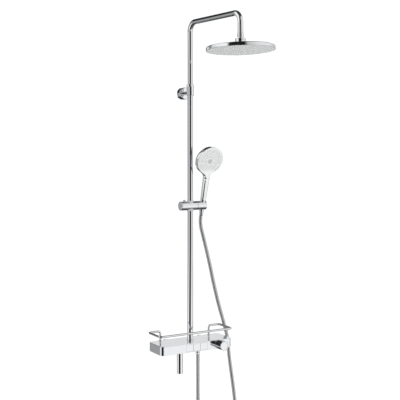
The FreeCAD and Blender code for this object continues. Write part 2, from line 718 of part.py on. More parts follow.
def mast_tube():
    """The upper riser, the arm and the down pipe are one bent tube."""
    points = [
        V(0, RY, UPPER_FOOT),
        V(0, RY, ARM_Z),
        V(0, RY - ARM_REACH, ARM_Z),
        V(0, RY - ARM_REACH, ARM_Z - ARM_DROP),
    ]
    edges = path_edges(points, [ARM_BEND_R] * 2)
    return swept_rod(edges, UPPER_R).cut(swept_rod(edges, UPPER_BORE_R))


def arm_end_nut():
    centre = (0, RY - ARM_REACH, NUT_FOOT)
    nut = cylinder(ARM_NUT_R, ARM_NUT_H, centre)
    nut = rim_fillet(nut, 1.0, lambda e: True)
    nut = nut.cut(cylinder(BALL_NECK_R, ARM_NUT_H, centre))
    thread_foot = (0, RY - ARM_REACH, NUT_FOOT + BALL_ENGAGE)
    return nut.cut(cylinder(UPPER_BORE_R, ARM_NUT_H - BALL_ENGAGE, thread_foot))


def ball_stud():
    shank_foot = NUT_FOOT + BALL_ENGAGE
    foot = BALL.z - BALL_R
    stud = Part.makeSphere(BALL_R, BALL)
    stud = stud.fuse(cylinder(BALL_NECK_R, shank_foot - BALL.z, (0, BALL.y, BALL.z)))
    stud = stud.fuse(cylinder(UPPER_BORE_R, BALL_SHANK_L, (0, BALL.y, shank_foot)))
    return stud.cut(cylinder(BALL_BORE_R, shank_foot + BALL_SHANK_L - foot, (0, BALL.y, foot)))


# ---------------------------------------------------------------- rain head
def ball_seat():
    """A plastic ring between the ball and the hub."""
    seat = Part.makeSphere(SEAT_R, BALL).cut(Part.makeSphere(BALL_R + RUN_FIT, BALL))
    slab = cylinder(SEAT_R, 2 * SEAT_HALF_H, (0, BALL.y, BALL.z - SEAT_HALF_H))
    return seat.common(slab)


def hub_bore():
    cavity = Part.makeSphere(SEAT_R + RUN_FIT, V(0, 0, 0))
    throat = cylinder(BALL_R + 1.0, HUB_CAP_H, (0, 0, 0))
    waterway = cylinder(HUB_WATERWAY_R, HUB_DEPTH, (0, 0, -HUB_DEPTH))
    return cavity.fuse(throat).fuse(waterway)


def head_hub():
    body = cylinder(HUB_R, HUB_DEPTH + HUB_SPLIT, (0, 0, -HUB_DEPTH))
    return in_rain_head(body.cut(hub_bore()))


def hub_cap():
    cap = cylinder(HUB_R, HUB_CAP_H - HUB_SPLIT, (0, 0, HUB_SPLIT))
    cap = rim_fillet(cap, 2.0, lambda e: e.Curve.Center.z > 0)
    return in_rain_head(cap.cut(hub_bore()))


def rain_head_shell():
    pan = cylinder(HEAD_R, HEAD_THICK, (0, 0, FACE_Z))
    pan = rim_fillet(pan, 3.0, lambda e: e.Curve.Center.z > FACE_Z + 1.0)
    inner = HEAD_R - HEAD_SKIN
    pan = pan.cut(cylinder(inner, HEAD_THICK - HEAD_ROOF_T, (0, 0, FACE_Z)))
    return in_rain_head(pan.cut(cylinder(HUB_WATERWAY_R, HEAD_THICK, (0, 0, FACE_Z))))


def rain_head_face():
    return in_rain_head(cylinder(HEAD_R - HEAD_SKIN, FACE_PLATE_T, (0, 0, FACE_Z)))


def rain_nozzle_mat():
    """The soft mat behind the face; its nozzles come through the face."""
    radius = HEAD_R - HEAD_SKIN - 6.0
    return in_rain_head(cylinder(radius, NOZZLE_MAT_T, (0, 0, FACE_Z + FACE_PLATE_T)))


# ---------------------------------------------------------------- slider
def slider_body():
    body = cylinder(SLIDER_R, SLIDER_SEAM - SLIDER_LEFT, (SLIDER_LEFT, RY, SLIDER_Z), X)
    body = body.cut(cylinder(LINER_R, 2 * SLIDER_R, (0, RY, SLIDER_Z - SLIDER_R)))
    bore_start = LINER_R + AXLE_SETBACK - 0.5
    axle_bore = cylinder(AXLE_R + RUN_FIT, SLIDER_SEAM - bore_start, (bore_start, RY, SLIDER_Z), X)
    shoe_hole = (LOCK_BUTTON_X, RY, SLIDER_Z)
    return body.cut(axle_bore).cut(cylinder(LOCK_BUTTON_R + 0.2, SLIDER_R, shoe_hole))


def slider_liner():
    height = 2 * (SLIDER_R + LINER_PROUD)
    return ring(LINER_R, LOWER_R + SLIDE_FIT, height, (0, RY, SLIDER_Z - height / 2))


def slider_cap():
    start = SLIDER_LEFT - SLIDER_CAP_T
    cap = cylinder(SLIDER_R, SLIDER_CAP_T, (start, RY, SLIDER_Z), X)
    return rim_fillet(cap, 1.5, lambda e: e.Curve.Center.x < start + 1.0)


def lock_button():
    foot = SLIDER_Z + LOCK_FOOT
    height = SLIDER_Z + SLIDER_R + LOCK_BUTTON_PROUD - foot
    button = cylinder(LOCK_BUTTON_R, height, (LOCK_BUTTON_X, RY, foot))
    return rim_fillet(button, 1.5, lambda e: e.Curve.Center.z > foot + 1.0)


def lock_spring():
    foot = 0.5 * SPRING_FREE
    inner = LOCK_SPRING_R - LOCK_SPRING_WIRE
    return ring(LOCK_SPRING_R, inner, LOCK_FOOT - SPRING_FREE, (LOCK_BUTTON_X, RY, SLIDER_Z + foot))


# ---------------------------------------------------------------- handset holder
def handle_cone(grow):
    """The handle's tapered lower end, in the handset's own axes, larger by grow all round."""
    rise = HANDLE_TOP - HANDLE_FOOT
    return Part.makeCone(HANDLE_FOOT_R + grow, HANDLE_TOP_R + grow, rise, V(0, 0, HANDLE_FOOT))


def handset_holder():
    start = SLIDER_SEAM + GAP
    body = cylinder(SLIDER_R, HOLDER_RIGHT - start, (start, RY, SLIDER_Z), X)
    body = rim_fillet(body, 1.5, lambda e: e.Curve.Center.x > HOLDER_RIGHT - 1.0)
    body = body.cut(in_handset(handle_cone(SOCKET_CLEAR)))
    hose_slot = cuboid((-HOSE_R - 1.0, 0, -3 * SLIDER_R), (HOSE_R + 1.0, 3 * SLIDER_R, 3 * SLIDER_R))
    body = body.cut(in_handset(hose_slot))
    return body.cut(cylinder(AXLE_R, AXLE_ENGAGE, (start, RY, SLIDER_Z), X))


def holder_axle():
    start = LINER_R + AXLE_SETBACK
    end = SLIDER_SEAM + GAP + AXLE_ENGAGE
    return cylinder(AXLE_R, end - start, (start, RY, SLIDER_Z), X)


# ---------------------------------------------------------------- handset
def shower_place():
    """The round shower plate's centre on the handset's axis, with the face's own pitch."""
    return FreeCAD.Placement(V(0, 0, SHOWER_CENTRE), FreeCAD.Rotation(X, SHOWER_PITCH))


def in_shower(shape):
    """Moves a piece from the shower's own axes, whose front is -Y, to its place."""
    shape.Placement = shower_place().multiply(shape.Placement)
    return in_handset(shape)


def handset_shell():
    handle = handle_cone(0)
    pot = cylinder(SHOWER_R, SHOWER_DEPTH, (0, SHOWER_FRONT, 0), Y)
    pot = rim_fillet(pot, SHOWER_BACK_R, lambda e: e.Curve.Center.y > 0)
    pot.Placement = shower_place()
    hollow = cylinder(SHOWER_R - SHOWER_RIM, SHOWER_HOLLOW, (0, SHOWER_FRONT, 0), Y)
    hollow.Placement = shower_place()
    waterway = cylinder(HANDLE_BORE_R, WATERWAY_TOP - HANDLE_FOOT, (0, 0, HANDLE_FOOT))
    insert = insert_block(0.0)
    return in_handset(handle.fuse(pot).cut(hollow).cut(waterway).cut(insert))


def insert_block(shrink):
    """The inlay on the front of the handle, in the handset's own axes."""
    rise = HANDLE_TOP - HANDLE_FOOT
    slope = (HANDLE_TOP_R - HANDLE_FOOT_R) / rise
    radius = HANDLE_FOOT_R + slope * (INSERT_FOOT - HANDLE_FOOT)
    half = INSERT_W / 2 - shrink
    far = cuboid((-half, -HANDLE_TOP_R * 2, INSERT_FOOT + shrink), (half, 0, INSERT_TOP - shrink))
    core = Part.makeCone(
        radius - INSERT_SINK, radius - INSERT_SINK + slope * (INSERT_TOP - INSERT_FOOT),
        INSERT_TOP - INSERT_FOOT, V(0, 0, INSERT_FOOT),
    )
    return far.cut(core).common(handle_cone(0.0))


def handle_inlay():
    return in_handset(insert_block(0.1))


def shower_face():
    """The pale face plate, with the button's hole."""
    front = SHOWER_FRONT + FACE_INSET
    plate = cylinder(SHOWER_R - SHOWER_RIM, FACE_T, (0, front, 0), Y)
    return in_shower(plate.cut(cylinder(SPRAY_BUTTON_R + GAP, FACE_T, (0, front, 0), Y)))


def spray_disc():
    """The water distributor behind the face; the button's stem slides in it."""
    start = SHOWER_FRONT + FACE_INSET + FACE_T
    outer = SHOWER_R - SHOWER_RIM
    disc = ring(outer - DISC_RIM, SPRAY_STEM_R, DISC_T, (0, start + DISC_SETBACK, 0), Y)
    rim = ring(outer, outer - DISC_RIM, DISC_SETBACK + DISC_T, (0, start, 0), Y)
    return in_shower(disc.fuse(rim))


def spray_button():
    front = SHOWER_FRONT - 0.4
    button = cylinder(SPRAY_BUTTON_R, SPRAY_BUTTON_T, (0, front, 0), Y)
    button = rim_fillet(button, 0.8, lambda e: e.Curve.Center.y < front + 1.0)
    stem = cylinder(SPRAY_STEM_R - RUN_FIT, SPRAY_STEM_L, (0, front + SPRAY_BUTTON_T, 0), Y)
    return in_shower(button.fuse(stem))


def hose_cone():
    """The hose's upper nut, screwed into the foot of the handle."""
    height = HANDLE_FOOT - CONE_FOOT
    body = Part.makeCone(HOSE_R + 0.6, HANDLE_FOOT_R - 0.4, height, V(0, 0, CONE_FOOT))
    body = body.fuse(cylinder(HANDLE_BORE_R, CONE_THREAD_L, (0, 0, HANDLE_FOOT)))
    bore = cylinder(CONE_BORE_R, height + CONE_THREAD_L - CONE_FLOOR, (0, 0, CONE_FOOT + CONE_FLOOR))
    return in_handset(body.cut(bore))


def hose_end():
    """Where the hose meets its upper nut."""
    return HANDSET_PLACE.multVec(V(0, 0, CONE_FOOT))


# ---------------------------------------------------------------- hose
def hose_parts():
    """The hose in four lengths that meet face to face: loop, run, bend and top."""
    straight_out = HANDSET_PLACE.multVec(V(0, 0, CONE_FOOT - HOSE_STRAIGHT))
    route = HOSE_LOOP + HOSE_RUN + HOSE_BEND + HOSE_TOP
    points = [V(*p) for p in route] + [straight_out, hose_end()]
    radii = []
    for k in range(1, len(points) - 1):
        before, after = points[k] - points[k - 1], points[k + 1] - points[k]
        half_turn = before.getAngle(after) / 2
        radii.append(0.45 * min(before.Length, after.Length) / math.tan(half_turn))
    print("hose radii", [round(r) for r in radii], "runs",
          [round((b - a).Length) for a, b in zip(points, points[1:])])
    edges = path_edges(points, radii)
    counts = [len(HOSE_LOOP), len(HOSE_RUN), len(HOSE_BEND)]
    lengths = []
    solids = []
    pending = list(edges)
    for count in counts:
        inner = count - 1 if not solids else count
        piece = pending[:2 * inner]
        run = pending[2 * inner]
        middle = run.valueAt((run.FirstParameter + run.LastParameter) / 2)
        start = run.valueAt(run.FirstParameter)
        end = run.valueAt(run.LastParameter)
        piece.append(Part.makeLine(start, middle))
        pending = [Part.makeLine(middle, end)] + pending[2 * inner + 1:]
        solids.append(swept_rod(piece, HOSE_R))
        lengths.append(sum(e.Length for e in piece))
    solids.append(swept_rod(pending, HOSE_R))
    lengths.append(sum(e.Length for e in pending))
    for solid, length in zip(solids, lengths):
        print("hose length", round(length, 1), "volume share", round(
            solid.Volume / (math.pi * HOSE_R ** 2 * length), 5))
    print("hose total", round(sum(lengths), 1))
    return solids


def build():
    hose = hose_parts()
    parts = {
        "mixer_casing": mixer_casing(),
        "base_cover": base_cover(),
        "cover_screws": cover_screws(),
        "shelf_plate": shelf_plate(),
        "guard_rail": guard_rail(),
        "rail_nuts": rail_nuts(),
        "wall_unions": both_inlets(wall_union),
        "union_nuts": union_nuts(),
        "filter_gaskets": filter_gaskets(),
        "wall_flanges": wall_flanges(),
        "check_valves": check_valves(),
        "valve_manifold": valve_manifold(),
        "outlet_valves": outlet_valves(),
        "thermostat_cartridge": thermostat_cartridge(),
        "key_springs": key_springs(),
        "temperature_knob": temperature_knob(),
        "knob_cap": knob_cap(),
        "stop_button": stop_button(),
        "stop_spring": stop_spring(),
        "spout_tube": spout_tube(),
        "spout_aerator": spout_aerator(),
        "hose_nipple": hose_nipple(),
        "hose_nut": hose_nut(),
        "lower_riser": lower_riser(),
        "riser_base_ring": riser_base_ring(),
        "wall_bracket": wall_bracket(),
        "bracket_rosette": bracket_rosette(),
        "bracket_screws": bracket_screws(),
        "clamp_collar": clamp_collar(),
        "seal_carrier": seal_carrier(),
        "carrier_seals": carrier_seals(),
        "mast_tube": mast_tube(),
        "arm_end_nut": arm_end_nut(),
        "ball_stud": ball_stud(),
        "ball_seat": ball_seat(),
        "head_hub": head_hub(),
        "hub_cap": hub_cap(),
        "rain_head_shell": rain_head_shell(),
        "rain_head_face": rain_head_face(),
        "rain_nozzle_mat": rain_nozzle_mat(),
        "slider_body": slider_body(),
        "slider_liner": slider_liner(),
        "slider_cap": slider_cap(),
        "lock_button": lock_button(),
        "lock_spring": lock_spring(),
        "handset_holder": handset_holder(),
        "holder_axle": holder_axle(),
        "handset_shell": handset_shell(),
        "handle_inlay": handle_inlay(),
        "shower_face": shower_face(),
        "spray_disc": spray_disc(),
        "spray_button": spray_button(),
        "hose_cone": hose_cone(),
    }
    for name, centre in zip(("head_key", "hand_key", "spout_key"), KEY_CENTRES):
        parts[name] = outlet_key(centre)
    return parts, hose


def main():
    os.makedirs("parts", exist_ok=True)
    parts, hose = build()
    for name, solid in zip(("hose_loop", "hose_run", "hose_bend", "hose_top"), hose):
        parts[name] = solid
    for name, shape in parts.items():
        if not shape.isValid() or not shape.Solids:
            print("not sound:", name)
        shape.exportStep("parts/" + name + ".step")
    print(len(parts), "nodes")


main()
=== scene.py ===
"""Rainfall shower column: the visible pieces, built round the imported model.

Lengths are in metres. The origin is on the wall's surface between the two wall inlets, X runs to the
right, Y into the wall and Z up.
"""
import json
import math

import bmesh
import bpy
from mathutils import Matrix, Vector
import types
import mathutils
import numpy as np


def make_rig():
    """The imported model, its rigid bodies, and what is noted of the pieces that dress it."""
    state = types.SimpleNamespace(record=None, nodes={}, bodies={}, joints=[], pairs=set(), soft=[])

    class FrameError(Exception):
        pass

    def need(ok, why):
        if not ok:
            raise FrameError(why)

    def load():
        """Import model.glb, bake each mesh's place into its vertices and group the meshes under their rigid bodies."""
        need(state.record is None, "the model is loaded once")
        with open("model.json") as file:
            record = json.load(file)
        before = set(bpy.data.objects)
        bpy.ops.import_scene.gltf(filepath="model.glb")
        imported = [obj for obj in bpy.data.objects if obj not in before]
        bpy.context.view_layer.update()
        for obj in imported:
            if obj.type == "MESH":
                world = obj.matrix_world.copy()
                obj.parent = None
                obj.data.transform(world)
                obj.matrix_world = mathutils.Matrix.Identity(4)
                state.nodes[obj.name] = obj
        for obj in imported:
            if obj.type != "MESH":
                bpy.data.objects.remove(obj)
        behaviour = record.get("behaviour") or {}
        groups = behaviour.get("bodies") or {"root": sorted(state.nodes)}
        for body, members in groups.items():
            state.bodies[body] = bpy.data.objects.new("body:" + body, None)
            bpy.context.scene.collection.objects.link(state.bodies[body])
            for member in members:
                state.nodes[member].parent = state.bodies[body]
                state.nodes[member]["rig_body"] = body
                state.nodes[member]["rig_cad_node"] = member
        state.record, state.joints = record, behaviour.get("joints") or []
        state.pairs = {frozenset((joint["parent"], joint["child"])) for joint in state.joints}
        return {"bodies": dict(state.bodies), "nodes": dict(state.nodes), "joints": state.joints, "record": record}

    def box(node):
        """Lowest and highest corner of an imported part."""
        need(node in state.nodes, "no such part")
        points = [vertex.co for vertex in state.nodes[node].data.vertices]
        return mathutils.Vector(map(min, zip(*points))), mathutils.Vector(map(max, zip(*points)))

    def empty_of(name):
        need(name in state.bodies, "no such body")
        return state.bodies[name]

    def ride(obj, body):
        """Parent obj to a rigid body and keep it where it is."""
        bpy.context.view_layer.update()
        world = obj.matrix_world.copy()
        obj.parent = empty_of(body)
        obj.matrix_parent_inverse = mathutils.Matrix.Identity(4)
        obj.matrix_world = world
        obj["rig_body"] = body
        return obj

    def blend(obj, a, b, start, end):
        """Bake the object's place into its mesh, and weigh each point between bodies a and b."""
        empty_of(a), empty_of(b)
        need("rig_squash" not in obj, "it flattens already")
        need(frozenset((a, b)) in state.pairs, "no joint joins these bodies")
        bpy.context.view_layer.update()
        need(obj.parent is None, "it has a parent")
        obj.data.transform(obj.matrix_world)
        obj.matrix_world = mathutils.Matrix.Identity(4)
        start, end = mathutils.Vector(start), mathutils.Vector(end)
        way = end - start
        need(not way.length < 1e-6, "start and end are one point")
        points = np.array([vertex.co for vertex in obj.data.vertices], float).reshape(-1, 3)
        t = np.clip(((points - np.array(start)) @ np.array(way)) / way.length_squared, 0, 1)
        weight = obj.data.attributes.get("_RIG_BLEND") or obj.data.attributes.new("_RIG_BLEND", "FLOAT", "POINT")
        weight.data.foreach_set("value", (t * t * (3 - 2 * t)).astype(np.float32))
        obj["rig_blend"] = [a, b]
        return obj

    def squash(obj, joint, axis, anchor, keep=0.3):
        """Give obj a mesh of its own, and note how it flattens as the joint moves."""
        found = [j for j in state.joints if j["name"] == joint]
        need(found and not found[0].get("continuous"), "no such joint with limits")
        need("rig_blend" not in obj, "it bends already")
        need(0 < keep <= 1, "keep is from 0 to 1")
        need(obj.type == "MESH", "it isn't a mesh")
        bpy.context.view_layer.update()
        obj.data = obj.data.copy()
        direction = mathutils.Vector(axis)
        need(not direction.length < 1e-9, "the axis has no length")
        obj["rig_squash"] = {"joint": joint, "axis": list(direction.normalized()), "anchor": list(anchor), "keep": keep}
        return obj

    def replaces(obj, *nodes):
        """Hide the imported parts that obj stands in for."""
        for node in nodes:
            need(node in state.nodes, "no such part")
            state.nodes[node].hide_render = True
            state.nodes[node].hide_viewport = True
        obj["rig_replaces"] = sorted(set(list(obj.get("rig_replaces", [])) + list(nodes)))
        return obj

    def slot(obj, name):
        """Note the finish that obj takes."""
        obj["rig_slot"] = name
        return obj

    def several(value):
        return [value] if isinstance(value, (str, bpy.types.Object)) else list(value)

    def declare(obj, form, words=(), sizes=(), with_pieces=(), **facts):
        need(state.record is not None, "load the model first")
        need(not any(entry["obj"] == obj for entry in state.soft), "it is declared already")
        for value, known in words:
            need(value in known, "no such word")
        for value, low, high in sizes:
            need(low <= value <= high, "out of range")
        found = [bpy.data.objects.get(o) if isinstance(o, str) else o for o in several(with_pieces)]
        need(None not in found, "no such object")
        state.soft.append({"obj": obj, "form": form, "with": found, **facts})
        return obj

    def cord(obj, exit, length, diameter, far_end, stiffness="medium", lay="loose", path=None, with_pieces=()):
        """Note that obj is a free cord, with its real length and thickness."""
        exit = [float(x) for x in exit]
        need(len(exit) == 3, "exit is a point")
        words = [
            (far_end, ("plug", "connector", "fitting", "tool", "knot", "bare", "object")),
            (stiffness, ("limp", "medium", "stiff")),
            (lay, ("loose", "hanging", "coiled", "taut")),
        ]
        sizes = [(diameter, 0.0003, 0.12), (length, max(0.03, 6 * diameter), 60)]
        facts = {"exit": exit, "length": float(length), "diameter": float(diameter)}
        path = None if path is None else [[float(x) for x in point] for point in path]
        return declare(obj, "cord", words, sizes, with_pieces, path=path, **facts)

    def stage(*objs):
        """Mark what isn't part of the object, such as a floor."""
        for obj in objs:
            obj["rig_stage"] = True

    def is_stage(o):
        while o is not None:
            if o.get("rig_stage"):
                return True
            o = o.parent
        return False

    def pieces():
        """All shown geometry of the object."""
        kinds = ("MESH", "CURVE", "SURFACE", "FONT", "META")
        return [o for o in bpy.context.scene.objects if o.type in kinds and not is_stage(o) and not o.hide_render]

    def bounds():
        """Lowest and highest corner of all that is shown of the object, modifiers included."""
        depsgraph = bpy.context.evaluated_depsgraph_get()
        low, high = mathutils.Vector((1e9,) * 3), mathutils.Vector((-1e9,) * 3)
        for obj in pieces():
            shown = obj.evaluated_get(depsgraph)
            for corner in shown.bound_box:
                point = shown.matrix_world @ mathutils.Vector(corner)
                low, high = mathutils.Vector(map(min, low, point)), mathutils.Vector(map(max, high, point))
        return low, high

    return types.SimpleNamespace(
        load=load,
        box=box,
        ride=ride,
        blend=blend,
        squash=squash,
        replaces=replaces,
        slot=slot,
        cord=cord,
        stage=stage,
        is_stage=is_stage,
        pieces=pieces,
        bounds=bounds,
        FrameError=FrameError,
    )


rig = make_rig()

bl_info = {
    "name": "Rainfall shower column",
    "version": (1, 0, 0),
    "blender": (4, 5, 0),
    "location": "3D View > Sidebar > Shower",
    "description": "Builds a wall-mounted rainfall shower column piece by piece",
    "category": "Object",
}

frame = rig.load()
NODES = frame["nodes"]
CAD_BOX = [list(corner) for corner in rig.bounds()]


def box_low(node):
    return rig.box(node)[0]


def box_high(node):
    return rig.box(node)[1]


def box_size(node):
    return box_high(node) - box_low(node)


def box_middle(node):
    return (box_low(node) + box_high(node)) / 2


def heights(node):
    return box_low(node).z, box_high(node).z


def half_width(node):
    return box_size(node).x / 2


RISER_Y = box_middle("lower_riser").y
ROUND = 96              # segments round a turned piece
SMALL_ROUND = 48
SHARP = 35.0            # degrees between faces from which an edge is sharp


# ---------------------------------------------------------------- properties
def length(name, default, description):
    return bpy.props.FloatProperty(
        name=name, description=description, default=default, min=0.0, unit="LENGTH", precision=4
    )


def angle(name, degrees, description):
    return bpy.props.FloatProperty(
        name=name, description=description, default=math.radians(degrees), subtype="ANGLE"
    )


def count(name, default, description):
    return bpy.props.IntProperty(name=name, description=description, default=default, min=0)


def colour(name, default, description):
    return bpy.props.FloatVectorProperty(
        name=name, description=description, default=default, size=3, subtype="COLOR", min=0.0, max=1.0
    )


class RiserSizes(bpy.types.PropertyGroup):
    """Sizes of the riser, its bracket and the overhead arm"""
    lower_radius: length("Lower tube radius", half_width("lower_riser"), "Outside of the lower tube")
    lower_wall: length("Lower tube wall", 0.0009, "Wall of the lower tube")
    arm_radius: length("Arm tube radius", 0.010, "Outside of the upper tube and the arm")
    arm_bend: length("Arm bend radius", 0.038, "Bend at both ends of the arm, at the tube's middle")
    edge: length("Edge rounding", 0.0010, "Rounding of turned edges")


class HeadSizes(bpy.types.PropertyGroup):
    """Sizes of the overhead rain head"""
    tilt: angle("Tilt", -3.5, "Turn about X at rest; negative lifts the front edge")
    radius: length("Radius", 0.120, "Radius of the head")
    thickness: length("Thickness", 0.013, "Thickness of the head")
    hub_radius: length("Hub radius", 0.0185, "Radius of the hub")
    hub_depth: length("Hub depth", 0.022, "From the ball's centre to the head")
    rings: count("Nozzle rings", 12, "Rings of nozzles")
    spacing: length("Nozzle spacing", 0.0092, "From one ring to the next")
    nozzle: length("Nozzle radius", 0.0014, "Radius of a nozzle's foot")
    nozzle_height: length("Nozzle height", 0.0007, "How far a nozzle stands out")


class MixerSizes(bpy.types.PropertyGroup):
    """Sizes of the mixer's body, shelf, keys and knob"""
    corner: length("Corner radius", 0.013, "Upright corners of the body")
    wall: length("Wall", 0.003, "Wall of the casing")
    edge: length("Edge rounding", 0.0006, "Rounding of the body's edges")
    rail_radius: length("Rail radius", 0.004, "Radius of the guard rail's bar")
    rail_bend: length("Rail bend radius", 0.009, "Bends of the guard rail")
    knob_radius: length("Knob radius", half_width("temperature_knob"), "Radius of the temperature knob")


class HandsetSizes(bpy.types.PropertyGroup):
    """Sizes of the handset, along the handle from the holder's pivot"""
    lean: angle("Lean", 15.5, "Forward lean of the handle")
    pitch: angle("Face pitch", 8.5, "Further turn of the face")
    foot: length("Foot below the pivot", 0.022, "From the pivot down to the handle's foot")
    foot_radius: length("Foot radius", 0.0096, "Radius at the handle's foot")
    neck_radius: length("Neck radius", 0.0138, "Radius at the neck")
    neck: length("Neck height", 0.132, "From the pivot up to the neck")
    centre: length("Head centre", 0.180, "From the pivot up to the head's centre")
    radius: length("Head radius", 0.0545, "Radius of the head")
    depth: length("Head depth", 0.024, "Depth of the head")
    rim: length("Rim", 0.0026, "Bright rim round the face")
    rings: count("Nozzle rings", 9, "Rings of nozzles, with the empty ones")
    empty: count("Empty rings", 2, "Rings left out round the button")
    spacing: length("Nozzle spacing", 0.0052, "From one ring to the next")


class HoseSizes(bpy.types.PropertyGroup):
    """Sizes of the metal hose"""
    diameter: length("Diameter", 0.014, "Outside of the hose")
    pitch: length("Winding pitch", 0.0050, "One turn of the wound strip")
    groove: length("Groove depth", 0.0007, "Depth of the groove between turns")


class Finishes(bpy.types.PropertyGroup):
    """Colours of the finishes"""
    chrome: colour("Chrome", (0.86, 0.87, 0.89), "Polished chrome plate")
    hose: colour("Hose", (0.66, 0.67, 0.68), "Wound metal strip of the hose")
    white: colour("White", (0.64, 0.65, 0.65), "White plastic of the faces")
    grey: colour("Grey", (0.42, 0.425, 0.43), "Grey plastic")
    black: colour("Black", (0.035, 0.035, 0.038), "Black plastic")
    silicone: colour("Silicone", (0.68, 0.69, 0.69), "Soft nozzles")
    brass: colour("Brass", (0.72, 0.54, 0.27), "Machined brass inside")
    steel: colour("Steel", (0.58, 0.58, 0.58), "Screws, springs and axles")


# ---------------------------------------------------------------- nodes
def add(tree, kind, inputs=None, **settings):
    """A new node with its own settings; inputs are values or links, by socket name or number."""
    node = tree.nodes.new(kind)
    for name, value in settings.items():
        setattr(node, name, value)
    for socket, value in (inputs or {}).items():
        if isinstance(value, bpy.types.NodeSocket):
            tree.links.new(value, node.inputs[socket])
        else:
            node.inputs[socket].default_value = value
    return node


def math_node(tree, operation, *values):
    return add(tree, "ShaderNodeMath", dict(enumerate(values)), operation=operation).outputs[0]


# ---------------------------------------------------------------- finishes
def new_material(name, base, metallic, sockets=()):
    """A material with its shader, and the piece's own coordinates for patterns."""
    made = bpy.data.materials.new(name)
    made.use_nodes = True
    tree = made.node_tree
    shader = tree.nodes["Principled BSDF"]
    shader.inputs["Base Color"].default_value = (*base, 1.0)
    shader.inputs["Metallic"].default_value = metallic
    for socket, value in dict(sockets).items():
        shader.inputs[socket].default_value = value
    return made, tree, shader, add(tree, "ShaderNodeTexCoord").outputs["Object"]


def noise(tree, place, scale, detail=2.0, stretch=(1.0, 1.0, 1.0)):
    """Noise on the piece's own coordinates; stretch draws it out along an axis."""
    mapping = add(tree, "ShaderNodeMapping", {"Vector": place, "Scale": stretch})
    inputs = {"Vector": mapping.outputs["Vector"], "Scale": scale, "Detail": detail}
    return add(tree, "ShaderNodeTexNoise", inputs).outputs["Fac"]


def mapped(tree, value, before, after=(0.0, 1.0)):
    """Maps a value from one range to another."""
    inputs = {
        "Value": value, "From Min": before[0], "From Max": before[1], "To Min": after[0], "To Max": after[1],
    }
    return add(tree, "ShaderNodeMapRange", inputs).outputs["Result"]


def spread(tree, pattern, low, high):
    return mapped(tree, pattern, (0.3, 0.7), (low, high))


def tint(tree, pattern, shader, base, factor):
    """Mixes the colour and a slightly darker or lighter one by a pattern."""
    other = [min(1.0, part * factor) for part in base]
    inputs = {"Factor": pattern, "A": (*base, 1.0), "B": (*other, 1.0)}
    mix = add(tree, "ShaderNodeMix", inputs, data_type="RGBA")
    tree.links.new(mix.outputs["Result"], shader.inputs["Base Color"])


def relief(tree, pattern, shader, strength, distance):
    """Turns a pattern into fine relief."""
    bump = add(tree, "ShaderNodeBump", {"Height": pattern, "Strength": strength, "Distance": distance})
    tree.links.new(bump.outputs["Normal"], shader.inputs["Normal"])


def patterned(base, name, metallic, wear, rough, patches=None, grain=None, sockets=()):
    """A finish whose roughness follows a wear pattern, with soft patches of tint and fine grain.

    wear is the pattern's scale, detail and stretch; patches are (scale, factor) and grain is
    (scale, strength, distance), where no scale stands for the wear pattern itself.
    """
    made, tree, shader, place = new_material(name, base, metallic, sockets)
    marks = noise(tree, place, *wear)
    tree.links.new(spread(tree, marks, *rough), shader.inputs["Roughness"])
    if patches:
        scale, factor = patches
        tint(tree, noise(tree, place, scale) if scale else marks, shader, base, factor)
    if grain:
        scale, strength, distance = grain
        relief(tree, noise(tree, place, scale) if scale else marks, shader, strength, distance)
    return made


def front_finish(base, flat):
    """Chrome, satin on the flat of the body's front and bright at its round corners."""
    made, tree, shader, place = new_material("satin_front_chrome", base, 1.0)
    across = add(tree, "ShaderNodeSeparateXYZ", {"Vector": place}).outputs["X"]
    side = math_node(tree, "ABSOLUTE", across)
    satin = mapped(tree, side, (flat - 0.002, flat + 0.002), (0.09, 0.02))
    bloom = spread(tree, noise(tree, place, 38.0, 4.0), 0.0, 0.03)
    tree.links.new(math_node(tree, "ADD", satin, bloom), shader.inputs["Roughness"])
    tint(tree, noise(tree, place, 9.0), shader, base, 0.97)
    return made


